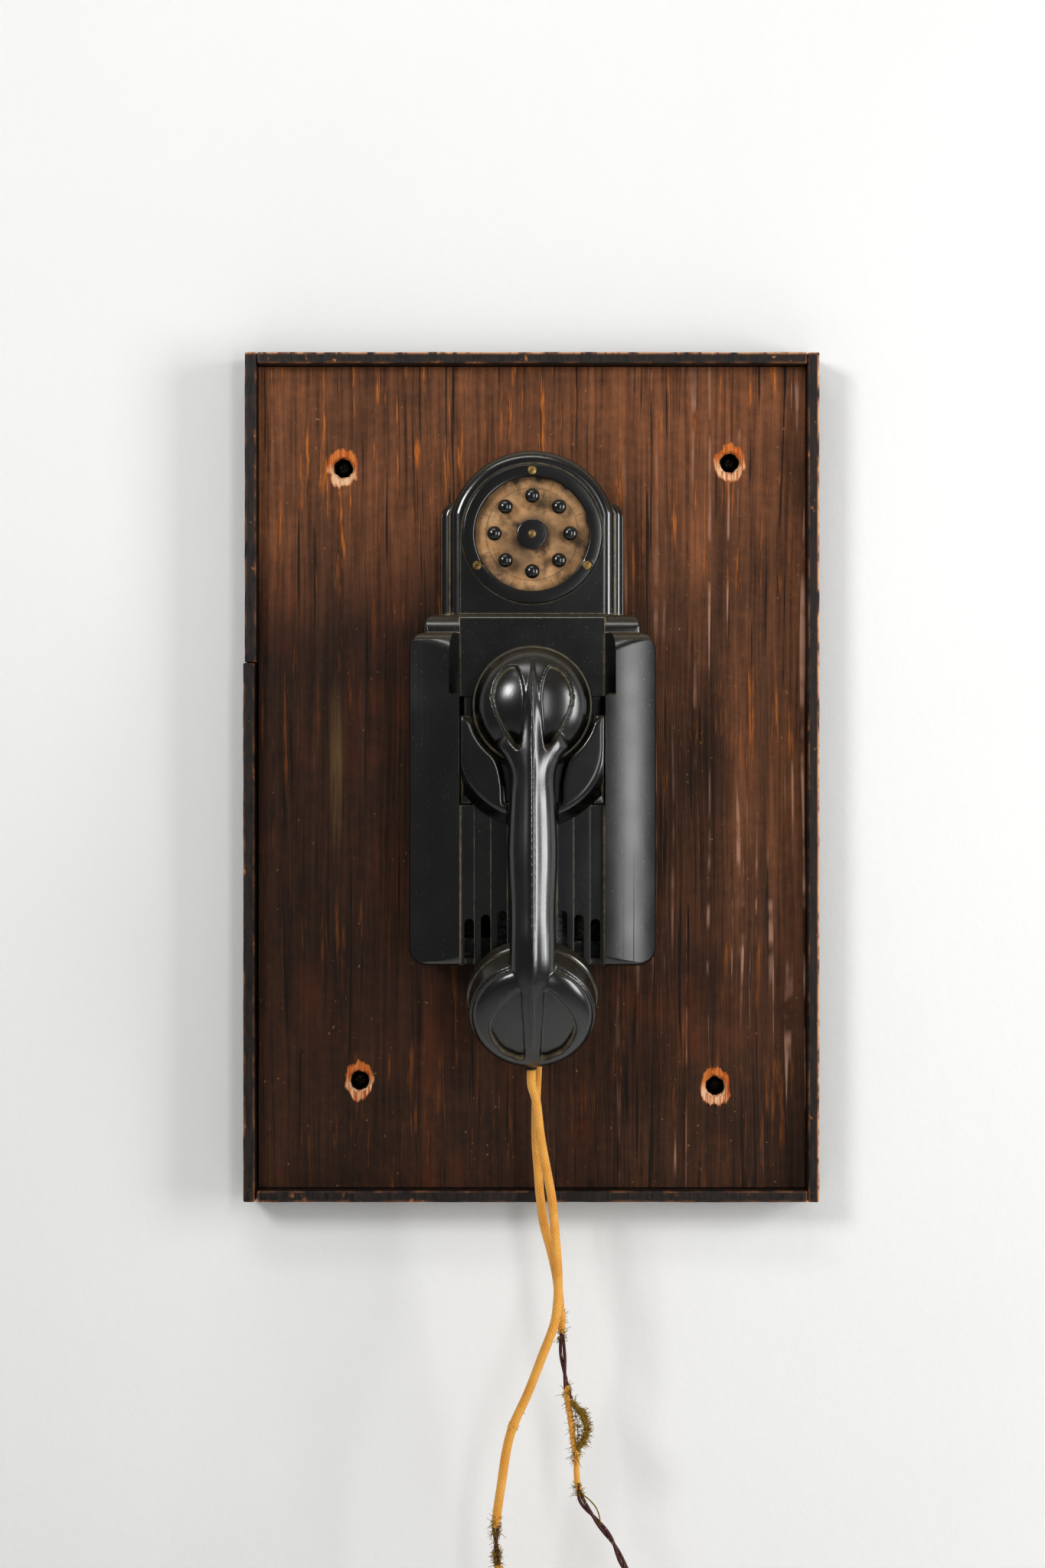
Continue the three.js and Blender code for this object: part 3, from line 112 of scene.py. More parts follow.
def between(rows, share):
    """The row at a share of the way along a table, on a smooth curve through its rows."""
    place = share * (len(rows) - 1)
    i = min(int(place), len(rows) - 2)
    t = place - i
    a, b, c, d = (rows[min(max(i + k, 0), len(rows) - 1)] for k in (-1, 0, 1, 2))
    return [
        q + 0.5 * t * (r - p + t * (2 * p - 5 * q + 4 * r - s + t * (3 * (q - r) + s - p)))
        for p, q, r, s in zip(a, b, c, d)
    ]


# ---------------------------------------------------------------- forms
def plate(outline, back, front, rounding=0.0, segments=5):
    """An outline between two depths, with its front edge rounded."""
    bm = bmesh.new()
    face = bm.faces.new([bm.verts.new((x, y, back)) for x, y in outline])
    risen = bmesh.ops.extrude_face_region(bm, geom=[face])["geom"]
    top = [v for v in risen if isinstance(v, bmesh.types.BMVert)]
    bmesh.ops.translate(bm, verts=top, vec=(0, 0, front - back))
    if rounding:
        rim = [e for e in bm.edges if all(v.co.z > (back + front) / 2 for v in e.verts)]
        soften(bm, rim, rounding, segments)
    bmesh.ops.recalc_face_normals(bm, faces=bm.faces)
    return bm


def soften(bm, edges, width, segments=3):
    bmesh.ops.bevel(
        bm, geom=edges, offset=width, segments=segments, profile=0.5, affect="EDGES", material=-1,
        clamp_overlap=True,
    )


def block(x0, x1, y0, y1, z0, z1, rounding=0.0, segments=3):
    """A box between six values, with all its edges rounded."""
    bm = bmesh.new()
    size = Matrix.Diagonal((x1 - x0, y1 - y0, z1 - z0, 1))
    place = Matrix.Translation(((x0 + x1) / 2, (y0 + y1) / 2, (z0 + z1) / 2))
    bmesh.ops.create_cube(bm, size=1, matrix=place @ size)
    if rounding:
        soften(bm, bm.edges[:], rounding, segments)
    return bm


def prism(outline, y0, y1):
    """An outline drawn in X and depth, between two heights."""
    bm = plate([(x, -z) for x, z in outline], y0, y1)
    bmesh.ops.transform(bm, matrix=Matrix.Rotation(math.radians(90), 4, "X").inverted(), verts=bm.verts)
    return bm


def spun(profile, steps=64, place=None):
    """A profile of radius and depth, turned about Z."""
    bm = bmesh.new()
    verts = [bm.verts.new((r, 0, z)) for r, z in profile]
    edges = [bm.edges.new(pair) for pair in zip(verts, verts[1:])]
    bmesh.ops.spin(
        bm, geom=verts + edges, cent=(0, 0, 0), axis=(0, 0, 1), angle=math.tau, steps=steps,
        use_merge=True,
    )
    bmesh.ops.remove_doubles(bm, verts=bm.verts, dist=1e-4)
    bmesh.ops.transform(bm, matrix=place or Matrix(), verts=bm.verts)
    bmesh.ops.recalc_face_normals(bm, faces=bm.faces)
    return bm


def lofted(rings):
    """A closed form through rings that all have the same number of points."""
    bm = bmesh.new()
    last = None
    for ring in rings:
        verts = [bm.verts.new(p) for p in ring]
        edges = [bm.edges.new((a, b)) for a, b in zip(verts, verts[1:] + verts[:1])]
        if last:
            bmesh.ops.bridge_loops(bm, edges=last + edges)
        last = edges
    ends = [e for e in bm.edges if len(e.link_faces) == 1]
    bmesh.ops.contextual_create(bm, geom=ends[:len(rings[0])])
    bmesh.ops.contextual_create(bm, geom=[e for e in bm.edges if len(e.link_faces) == 1])
    bmesh.ops.recalc_face_normals(bm, faces=bm.faces)
    return bm


def disc(radius, back, front, steps=24, end=None, place=None):
    """A plain drum, or one that ends wider at its front."""
    return spun([(0, back), (radius, back), (end or radius, front), (0, front)], steps, place)


def dome(radius, rim, top, steps):
    """A quarter ellipse of radius and depth, from its rim to just short of its middle."""
    turns = [math.pi / 2 * i / steps for i in range(steps)]
    return [(radius * math.cos(t), rim + (top - rim) * math.sin(t)) for t in turns]


def moved(form, x=0, y=0):
    bmesh.ops.translate(form, verts=form.verts, vec=(x, y, 0))
    return form


def as_object(name, form):
    mesh = bpy.data.meshes.new(name)
    form.to_mesh(mesh)
    form.free()
    made = bpy.data.objects.new(name, mesh)
    bpy.context.scene.collection.objects.link(made)
    return made


def applied(made):
    """Makes an object's modifiers part of its mesh."""
    old = made.data
    graph = bpy.context.evaluated_depsgraph_get()
    made.data = bpy.data.meshes.new_from_object(made.evaluated_get(graph))
    made.modifiers.clear()
    bpy.data.meshes.remove(old)
    return made


def taken(made):
    """An object's mesh as a form again."""
    form = bmesh.new()
    form.from_mesh(made.data)
    bpy.data.objects.remove(made)
    return form


def more(*forms):
    return [("UNION", form) for form in forms]


def less(*forms):
    return [("DIFFERENCE", form) for form in forms]


def cut(name, base, changes):
    """Adds forms to a base and takes forms away, in the order given."""
    made = as_object(name, base)
    tools = []
    for operation, form in changes:
        tools.append(as_object("tool", form))
        change = made.modifiers.new("change", "BOOLEAN")
        change.operation, change.object, change.solver = operation, tools[-1], "MANIFOLD"
    applied(made)
    for tool in tools:
        bpy.data.objects.remove(tool)
    if not made.data.polygons:
        raise RuntimeError(f"{name} came out empty")
    return made


def remeshed(made, voxel, rounds):
    """Runs the forms together as one skin with soft inner corners."""
    skin = made.modifiers.new("skin", "REMESH")
    skin.mode, skin.voxel_size = "VOXEL", voxel
    relax = made.modifiers.new("relax", "SMOOTH")
    relax.factor, relax.iterations = 0.5, rounds
    return applied(made)


def finished(made, body, surface, nodes=(), sharp=35.0, weighted=True):
    """Puts a piece in the part's frame, on its body, with its finish, in place of its nodes."""
    made.data.transform(FACE)
    made.data.materials.clear()
    made.data.materials.append(surface)
    made.data.shade_smooth()
    made.data.set_sharp_from_angle(angle=math.radians(sharp))
    if weighted:
        flat = made.modifiers.new("even shading", "WEIGHTED_NORMAL")
        flat.keep_sharp = True
    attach(made, body)
    if nodes:
        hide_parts(*nodes)
    return made


# ---------------------------------------------------------------- finishes
class Value:
    """One output of a shader node, with arithmetic that adds Math nodes."""

    def __init__(self, socket):
        self.socket, self.tree = socket, socket.id_data

    def maths(self, operation, other=0.0):
        return node(self.tree, "Math", {0: self, 1: other}, operation=operation)

    def __add__(self, other):
        return self.maths("ADD", other)

    def __sub__(self, other):
        return self.maths("SUBTRACT", other)

    def __mul__(self, other):
        return self.maths("MULTIPLY", other)

    def __abs__(self):
        return self.maths("ABSOLUTE")

    def most(self, other):
        return self.maths("MAXIMUM", other)

    def clamped(self):
        return node(self.tree, "Clamp", {0: self})

    def ramp(self, low, high, bottom=0.0, top=1.0):
        """Stretched from between low and high to between bottom and top."""
        return node(self.tree, "MapRange", {"Value": self, 1: low, 2: high, 3: bottom, 4: top})


def wire(made, links):
    """Links values to a node's inputs, or sets what they hold."""
    for key, source in links.items():
        if isinstance(source, Value):
            source.tree.links.new(source.socket, made.inputs[key])
        else:
            made.inputs[key].default_value = source


def node(tree, kind, links=None, out=0, **settings):
    """Adds a shader node with its settings and its links, and gives one of its outputs."""
    made = tree.nodes.new("ShaderNode" + kind)
    for name, value in settings.items():
        setattr(made, name, value)
    wire(made, links or {})
    return Value(made.outputs[out])


def here(tree):
    return node(tree, "TexCoord", out="Object")


def split(vector):
    """A vector's three parts."""
    made = vector.tree.nodes.new("ShaderNodeSeparateXYZ")
    wire(made, {0: vector})
    return [Value(socket) for socket in made.outputs]


def shifted(place, by):
    return node(place.tree, "VectorMath", {0: place, 1: by}, operation="ADD")


def distance(place, stretch=(1.0, 0.0, 1.0)):
    """How far a place is from the origin, each axis stretched by its own factor."""
    flat = node(place.tree, "VectorMath", {0: place, 1: stretch}, operation="MULTIPLY")
    return node(place.tree, "VectorMath", {0: flat}, out=1, operation="LENGTH")


def surface(name):
    """A new material, its node tree and its shader."""
    made = bpy.data.materials.new(name)
    made.use_nodes = True
    return made, made.node_tree, made.node_tree.nodes["Principled BSDF"]


def grain(tree, scale, detail=4.0, vector=None, stretch=(1, 1, 1), roughness=0.55):
    """Noise with features of about 1 / scale metres, drawn out by stretch."""
    spread = node(tree, "Mapping", {"Vector": vector or here(tree), "Scale": stretch})
    links = {"Vector": spread, "Scale": scale, "Detail": detail, "Roughness": roughness}
    return node(tree, "TexNoise", links)


def blend(share, a, b):
    """Colour a turning to colour b."""
    return node(share.tree, "Mix", {0: share, 6: a, 7: b}, out=2, data_type="RGBA")


def bump(height, distance, strength=1.0):
    return node(height.tree, "Bump", {"Height": height, "Distance": distance, "Strength": strength})


def bakelite(name, look, dusty=1.0, duller=0.0):
    """Black phenolic, pressed in polished steel: deep gloss gone dull in patches, dust in corners."""
    made, tree, shader = surface(name)
    shut = node(tree, "AmbientOcclusion", {"Distance": 0.0028}, out="AO", samples=10, only_local=False)
    settled = shut.ramp(0.74, 0.54) * grain(tree, 260, 5).ramp(0.3, 0.6, 0.35, 1.0)
    facing_up = split(node(tree, "TexCoord", out="Normal"))[2]
    specks = grain(tree, 900, 2).ramp(0.64, 0.72)
    lying = facing_up.ramp(0.15, 0.95) * (specks + 0.5)
    stray = grain(tree, 1500, 1).ramp(0.74, 0.78)
    share = ((lying * 0.3 + settled + stray * 0.35) * (look.dust_amount * dusty)).clamped()
    rough = look.rough + duller
    wire(shader, {
        "Base Color": blend(share, look.black, look.dust),
        "Roughness": grain(tree, 30, 2).ramp(0.3, 0.7, rough - 0.03, rough + 0.05) + share * 0.5,
        "Normal": bump(grain(tree, 900, 2), 0.00002, 0.5),
        "IOR": 1.85,
    })
    return made


def metal(name, colour, tarnish, rough):
    """Bare metal with tarnish in patches."""
    made, tree, shader = surface(name)
    share = grain(tree, 500, 4).ramp(0.35, 0.65)
    wire(shader, {
        "Base Color": blend(share, colour, tarnish),
        "Roughness": share.ramp(0, 1, rough, rough + 0.2),
        "Normal": bump(grain(tree, 2500, 2, stretch=(1, 0.1, 1)), 0.00002),
        "Metallic": 1.0,
    })
    return made


def plain(name, light, dark, rough, scale=400):
    """A dull solid with slight mottling."""
    made, tree, shader = surface(name)
    share = grain(tree, scale, 5).ramp(0.3, 0.7)
    wire(shader, {
        "Base Color": blend(share, light, dark),
        "Normal": bump(share, 0.00005),
        "Roughness": rough,
    })
    return made


def braid(name, light, dark, rows, stitch):
    """Knitted cotton sleeve: lengthwise rows of stitches, with a nap that catches light at its sides."""
    made, tree, shader = surface(name)
    # rows of stitches, the real ones 0.7 mm wide, drawn 1.1 mm wide so that they show
    turned = node(tree, "Mapping", {
        "Vector": node(tree, "UVMap", uv_map="UVMap"), "Scale": (rows, 1000 / stitch, 1),
        "Rotation": (0, 0, math.pi / 2),
    })
    gap = node(tree, "TexBrick", {
        "Vector": turned, "Scale": 1.0, "Mortar Size": 0.16, "Mortar Smooth": 1.0, "Brick Width": 1.0,
        "Row Height": 1.0,
    }, out="Fac")
    threads = grain(tree, 2600, 2).ramp(0.3, 0.7)
    soiled = grain(tree, 75, 4).ramp(0.42, 0.72)
    shade = (gap * 0.55 + soiled * 0.45 + threads * 0.2).clamped()
    wire(shader, {
        "Base Color": blend(shade, light, dark),
        "Normal": bump(gap * -1.0 + threads * 0.4, 0.00025, 0.8),
        "Roughness": 0.9,
        "Sheen Weight": 0.35,
        "Specular IOR Level": 0.2,
    })
    return made


def conductor(name, core, fleck):
    """Maroon rubber over stranded wire, with cotton lint stuck to it."""
    made, tree, shader = surface(name)
    lint = grain(tree, 900, 3, stretch=(1, 1, 0.5)).ramp(0.62, 0.68)
    wire(shader, {"Base Color": blend(lint, core, fleck), "Normal": bump(lint, 0.0001), "Roughness": 0.5})
    return made


# The board's screw holes, and how far each one's wood has split: up the board, or down if it is negative.
HOLES = ((-105, 172), (110, 175), (-96, -169), (102, -172))
SPLITS = (2.2, -0.75, 5.0, 1.2)


def pine_panel(name, look):
    """Softwood board under dark stain: raised vertical grain, rubbed to orange along its ridges."""
    made, tree, shader = surface(name)
    place = here(tree)
    x, y, z = split(place)
    sway = node(tree, "CombineXYZ", {0: grain(tree, 9, 2, place, (1, 1, 0.35))})
    bent = node(tree, "MixRGB", {0: 0.012, 1: place, 2: sway}, blend_type="ADD")
    lines = grain(tree, 420, 5, bent, (1, 1, 0.028), 0.6)
    broad = grain(tree, 70, 3, bent, (1, 1, 0.05), 0.5)
    pores = grain(tree, 1100, 2, bent, (1, 1, 0.03))
    spotty = grain(tree, 130, 6, roughness=0.75).ramp(0.3, 0.7)
    base = blend(lines.ramp(0.3, 0.7) * 0.5 + spotty * 0.5, look.stain_dark, look.stain_brown)
    rust = grain(tree, 24, 5).ramp(0.48, 0.66) * broad.ramp(0.4, 0.65)
    base = blend(rust * 0.55, base, look.rust)
    # faded stain, and painted light falling from above and from the right: paler along the top and down the
    # right
    top = z.ramp(0.08, 0.19, 0.0, 2.6)
    right = x.ramp(0.02, 0.13, 0.0, 0.62)
    upper = z.ramp(-0.17, 0.02, 0.25, 1.0)
    patchy = grain(tree, 11, 4, place, (1, 1, 0.45)).ramp(0.36, 0.62, 0.3, 1.2)
    faded_and_lit = top.most(right * upper) * patchy * broad.ramp(0.34, 0.62, 0.45, 1.1)
    faded_and_lit = (faded_and_lit + 0.13).clamped()
    light = blend(lines.ramp(0.3, 0.6) * 0.6 + spotty * 0.4, look.lit_faded_dark, look.lit_faded_light)
    base = blend(faded_and_lit, base, light)
    # raised lines of late wood down the right with a painted highlight along them, and ridges rubbed through
    # the stain
    crest_highlight = grain(tree, 300, 1, bent, (1, 1, 0.02), 0.4).ramp(0.63, 0.68) * right
    crest_highlight = crest_highlight * grain(tree, 40, 2).ramp(0.42, 0.6)
    base = blend((crest_highlight * 1.7).clamped(), base, look.crest_highlight)
    rub = grain(tree, 240, 4, bent, (1, 1, 0.06), 0.7).ramp(0.58, 0.68)
    rub = rub * grain(tree, 17, 3).ramp(0.44, 0.62) * (faded_and_lit + 0.08)
    base = blend((rub * 1.5).clamped(), base, look.bare_wood)
    # dark checks along the grain, dirt, and small pale knocks
    checks = grain(tree, 460, 3, bent, (1, 1, 0.022), 0.5).ramp(0.385, 0.32)
    base = blend(checks * 0.85, base, look.stain_dark)
    base = blend(grain(tree, 16, 5).ramp(0.46, 0.7) * 0.5, base, look.stain_dark)
    base = blend(grain(tree, 420, 1).ramp(0.76, 0.79) * 0.6, base, look.scrape)
    # one long pale scrape left of the moulding
    scrape = distance(shifted(place, (0.109, 0, -0.005)), (260.0, 0.0, 19.0)).ramp(1.1, 0.2)
    base = blend(scrape * lines.ramp(0.35, 0.6) * 0.55, base, look.scrape)
    # torn wood round the screw holes
    torn, cream = 0.0, 0.0
    for (hole_x, hole_y), reach in zip(HOLES, SPLITS):
        off = shifted(place, (-hole_x * MM, 0, -hole_y * MM))
        across, _, up = split(off)
        rag = grain(tree, 260, 3, place, (1, 1, 0.35)).ramp(0.3, 0.7, -0.0016, 0.0016)
        ragged = distance(off, (1.0, 0.0, 0.8)) + rag
        torn = ragged.ramp(0.0088, 0.0078).most(torn)
        # paler round each hole's lower, upward-facing edge: fresh fibres with a painted highlight
        cream = (up.ramp(0.003, -0.003) * ragged.ramp(0.0086, 0.0074)).most(cream)
        # splinters along the grain
        away = up * reach
        streak = away.ramp(0.004, 0.026, 1.0, 0.0) * abs(across).ramp(0.0058, 0.001)
        torn = (streak * away.ramp(0.0, 0.002) * lines.ramp(0.46, 0.56)).most(torn)
    # painted shade down inside the holes
    mouth = y.ramp(-0.0138, -0.0152)
    base = blend(mouth.ramp(0.6, 0.0), base, look.stain_dark)
    torn, cream = torn * mouth, cream * mouth
    base = blend(torn, base, blend(pores.ramp(0.3, 0.7), look.torn_dark, look.torn_light))
    base = blend(cream * pores.ramp(0.35, 0.55), base, look.torn_pale_and_highlight)
    wire(shader, {
        "Base Color": base,
        "Roughness": lines.ramp(0.3, 0.7, 0.62, 0.42) + torn * 0.35,
        "Normal": bump(lines * 0.7 + pores * 0.3, 0.0009, 0.9),
        "Specular IOR Level": 0.25,
    })
    return made


def strip_wood(name, look):
    """Lattice strip, black paint over pine, rubbed through at its corners, with a painted highlight along
    its edges.
    """
    made, tree, shader = surface(name)
    fine = grain(tree, 500, 5, stretch=(1, 1, 0.2))
    patch = grain(tree, 75, 5)
    base = blend(fine.ramp(0.35, 0.65), look.strip_dark, look.strip_brown)
    # pale along the outer edges: edge wear, and a painted highlight where the edges catch light
    edge = node(tree, "AmbientOcclusion", {"Distance": 0.0016}, out="AO", samples=6, inside=True)
    # the outer front corners at the right and the top are rubbed bare
    x, y, z = split(here(tree))
    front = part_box("trim_right")[0][1]
    outer = x.ramp(0.1574, 0.1584).most(z.ramp(0.2336, 0.2348)) * y.ramp(front + 0.003, front + 0.001)
    rubbed = outer * grain(tree, 180, 4, stretch=(1, 1, 0.4)).ramp(0.38, 0.52)
    wear_and_edge_highlight = (edge.ramp(0.86, 0.6) * patch.ramp(0.44, 0.6)).most(rubbed)
    spots = grain(tree, 210, 4).ramp(0.62, 0.7) * patch.ramp(0.5, 0.62)
    bare = blend(patch.ramp(0.42, 0.6), look.torn_dark, look.torn_light)
    bare = blend(rubbed * 0.6, bare, look.torn_pale_and_highlight)
    wire(shader, {
        "Base Color": blend((wear_and_edge_highlight * 0.85 + spots * 0.7).clamped(), base, bare),
        "Roughness": fine.ramp(0.3, 0.7, 0.4, 0.62),
        "Normal": bump(fine, 0.0004, 0.8),
    })
    return made


def aged_paper(name, look):
    """Card printed with a faint ring, browned by light and thumbed grey round the buttons, with painted
    shade over its lower part.
    """
    made, tree, shader = surface(name)
    centre = middle("selector_ring")
    off = shifted(here(tree), (-centre.x * MM, 0, -centre.y * MM))
    far = distance(off)
    across, _, up = split(off)
    base = blend(grain(tree, 120, 6, roughness=0.7).ramp(0.3, 0.72), look.paper, look.paper_brown)
    # painted shade, darker over the lower part of the card
    shadowed = grain(tree, 48, 2).ramp(0.45, 0.6) * up.ramp(0.02, -0.028, 0.2, 0.8)
    smudge_and_shade = (grain(tree, 90, 5).ramp(0.47, 0.64) * 0.75).most(shadowed)
    # darker round the clamp and towards the ring
    share = smudge_and_shade + far.ramp(0.014, 0.0085) * 0.5 + far.ramp(0.0275, 0.0312) * 0.45
    base = blend(share.clamped(), base, look.paper_grime_and_shade)
    # a printed ring, with a tick outwards between every two buttons
    ring = abs(far - 0.0252).ramp(0.00035, 0.0001)
    turns = (up.maths("ARCTAN2", across) * (8 / math.tau)).maths("FRACT")
    tick = abs(turns - 0.5).ramp(0.012, 0.006) * far.ramp(0.0250, 0.0255) * far.ramp(0.031, 0.0305)
    wire(shader, {
        "Base Color": blend(ring.most(tick) * 0.5, base, look.paper_grime_and_shade),
        "Normal": bump(grain(tree, 1800, 3), 0.00008),
        "Roughness": 0.62,
    })
    return made


# ---------------------------------------------------------------- settings
def colour(name, code, description):
    return FloatVectorProperty(
        name=name, description=description, default=linear(code), size=4, subtype="COLOR", min=0, max=1,
    )


def number(name, default, description, **limits):
    return FloatProperty(name=name, description=description, default=default, **limits)


class PHONE_StageLook(bpy.types.PropertyGroup):
    lens: number("Lens", 40.8, "Focal length", min=20, max=200)
    distance: number("Distance", 1.5, "Camera to wall", unit="LENGTH")
    height: number("Height", -0.0038, "Camera above the middle", unit="LENGTH")
    side: number("Side", -0.0053, "Camera to the right of the middle", unit="LENGTH")
    key: number("Key light", 13.5, "Upper left light", unit="POWER")
    top: number("Top light", 4.0, "Strip light overhead", unit="POWER")
    fill: number("Side light", 17.0, "Tall light at the right", unit="POWER")
    front: number("Front light", 3.4, "Tall light right of the camera", unit="POWER")
    ambient: number("Ambient", 0.195, "Light from all round", min=0)
    contrast: number("Contrast", 0.84, "Gamma of the view", min=0.5, max=1.5)
    wall: colour("Wall", "#f7f7f6", "Wall paint")


class PHONE_BoardLook(bpy.types.PropertyGroup):
    stain_dark: colour("Dark stain", "#140c07", "Stain in the hollows of the grain")
    stain_brown: colour("Brown stain", "#41291a", "Stain on the grain's ridges")
    # colours of the paler zone: faded stain with painted light from above and the right
    lit_faded_dark: colour("Faded stain, dark", "#46291a", "Hollows where the stain has faded")
    lit_faded_light: colour("Faded stain, light", "#996440", "Ridges where the stain has faded")
    rust: colour("Rust stain", "#6e3417", "Red patches in the stain")
    # a painted highlight along the raised grain
    crest_highlight: colour("Raised grain", "#b98f78", "Late wood standing proud")
    bare_wood: colour("Bare wood", "#d8802f", "Ridges rubbed through the stain")
    scrape: colour("Scrape", "#a08050", "Long pale scrape")
    torn_dark: colour("Torn wood, dark", "#b4561f", "Torn fibres round a hole")
    torn_light: colour("Torn wood, light", "#df9250", "Lifted fibres round a hole")
    # fresh fibres with a painted highlight on a hole's lower edge; also the strips' bare corners
    torn_pale_and_highlight: colour("Torn wood, pale", "#f0cda8", "Fresh fibres at a hole's lower edge")
    strip_dark: colour("Strip black", "#0d0a08", "Paint on the edging strips")
    strip_brown: colour("Strip brown", "#30221a", "Worn paint on the edging strips")


class PHONE_MouldingLook(bpy.types.PropertyGroup):
    black: colour("Bakelite", "#050505", "Pressed phenolic")
    dust: colour("Dust", "#c4b48e", "Dust in the corners")
    dust_amount: number("Dust", 0.9, "How much dust lies", min=0, max=1)
    rough: number("Roughness", 0.2, "Of the moulded skin", min=0, max=1)


class PHONE_SelectorLook(bpy.types.PropertyGroup):
    paper: colour("Card", "#deb485", "Aged card")
    paper_brown: colour("Card, brown", "#a87c4c", "Browned patches")
    # also the colour of the painted shade over the card's lower part
    paper_grime_and_shade: colour("Card, grime", "#3f2f1e", "Thumb marks and print")
    brass: colour("Brass", "#b59a68", "Screws")
    tarnish: colour("Tarnish", "#5f4c2a", "Tarnished brass")


class PHONE_CordLook(bpy.types.PropertyGroup):
    cloth: colour("Cloth", "#ffc667", "Cotton braid")
    cloth_dark: colour("Cloth, dark", "#e69a38", "Between the braid's threads")
    core: colour("Conductor", "#4b1d1b", "Rubbered conductors")
    fleck: colour("Flecks", "#c9a67c", "Cotton lint left on the conductors")
    fray: colour("Frayed ends", "#b08d2c", "Frayed cotton")
    fray_dark: colour("Frayed ends, dark", "#6a5516", "Dirty frayed cotton")
    diameter: number("Diameter", 0.005, "Of the cord", unit="LENGTH")


LOOKS = {
    "phone_stage": PHONE_StageLook,
    "phone_board": PHONE_BoardLook,
    "phone_moulding": PHONE_MouldingLook,
    "phone_selector": PHONE_SelectorLook,
    "phone_cord": PHONE_CordLook,
}


# ---------------------------------------------------------------- stage
class PHONE_OT_stage(bpy.types.Operator):
    """Wall, floor, lights and camera"""

    bl_idname = "phone.stage"
    bl_label = "Stage"

    def execute(self, context):
        look = context.scene.phone_stage
        scene = context.scene
        scene.view_settings.view_transform = "Standard"
        scene.view_settings.gamma = look.contrast
        world = bpy.data.worlds.new("Room")
        world.use_nodes = True
        wire(world.node_tree.nodes["Background"], {0: (1, 1, 1, 1), 1: look.ambient})
        scene.world = world

        paint, tree, shader = surface("Wall_emulsion")
        dim = tuple(c * 0.97 for c in look.wall[:3]) + (1,)
        wire(shader, {
            "Base Color": blend(grain(tree, 3, 4).ramp(0.3, 0.7), look.wall, dim),
            "Normal": bump(grain(tree, 160, 3), 0.0006, 0.35),
            "Roughness": 0.8,
        })
        # clear from behind, so that the wall doesn't hide the back of the board
        behind = node(tree, "NewGeometry", out="Backfacing")
        links = {0: behind, 1: Value(shader.outputs[0]), 2: node(tree, "BsdfTransparent")}
        wire(tree.nodes["Material Output"], {0: node(tree, "MixShader", links)})

        # the wall is open behind the board, up to a little inside its edge
        high = Vector(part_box("board_panel")[1])
        wall = bmesh.new()
        bmesh.ops.create_grid(wall, x_segments=3, y_segments=3, size=1)
        reach, under = 2.5, 0.004
        for v in wall.verts:
            x, z = (
                at * reach if abs(at) > 0.9 else math.copysign(edge - under, at)
                for at, edge in ((v.co.x, high.x), (v.co.y, high.z))
            )
            v.co = (x, 0.0002, z)
        hole = min(wall.faces, key=lambda f: f.calc_center_median().length)
        bmesh.ops.delete(wall, geom=[hole], context="FACES_ONLY")
        for face in wall.faces:
            if face.normal.y > 0:
                face.normal_flip()
        backdrop = as_object("wall", wall)
        floor = bmesh.new()
        bmesh.ops.create_grid(floor, x_segments=1, y_segments=1, size=reach)
        bmesh.ops.translate(floor, verts=floor.verts, vec=(0, -reach, -1.3))
        for made in (backdrop, as_object("floor", floor)):
            made.data.materials.append(paint)

        for name, place, wide, tall, power in (
            ("key", (-1.1, -1.5, 0.75), 0.5, 0.5, look.key),
            ("top", (-0.2, -1.0, 1.3), 0.9, 0.25, look.top),
            ("side", (1.5, -0.8, 0.1), 0.5, 1.1, look.fill),
            ("front", (0.42, -1.45, 0.1), 0.22, 0.9, look.front),
        ):
            light = bpy.data.lights.new(name, "AREA")
            light.shape, light.size, light.size_y, light.energy = "RECTANGLE", wide, tall, power
            made = bpy.data.objects.new(name, light)
            made.location = place
            aim = Vector((0, -0.03, -0.03)) - made.location
            made.rotation_euler = aim.to_track_quat("-Z", "Y").to_euler()
            scene.collection.objects.link(made)

        camera = bpy.data.cameras.new("camera")
        camera.lens, camera.sensor_fit, camera.sensor_height = look.lens, "VERTICAL", 24
        made = bpy.data.objects.new("camera", camera)
        made.location = (look.side, -look.distance, look.height)
        made.rotation_euler = (math.radians(90), 0, 0)
        scene.collection.objects.link(made)
        scene.camera = made
        return {"FINISHED"}


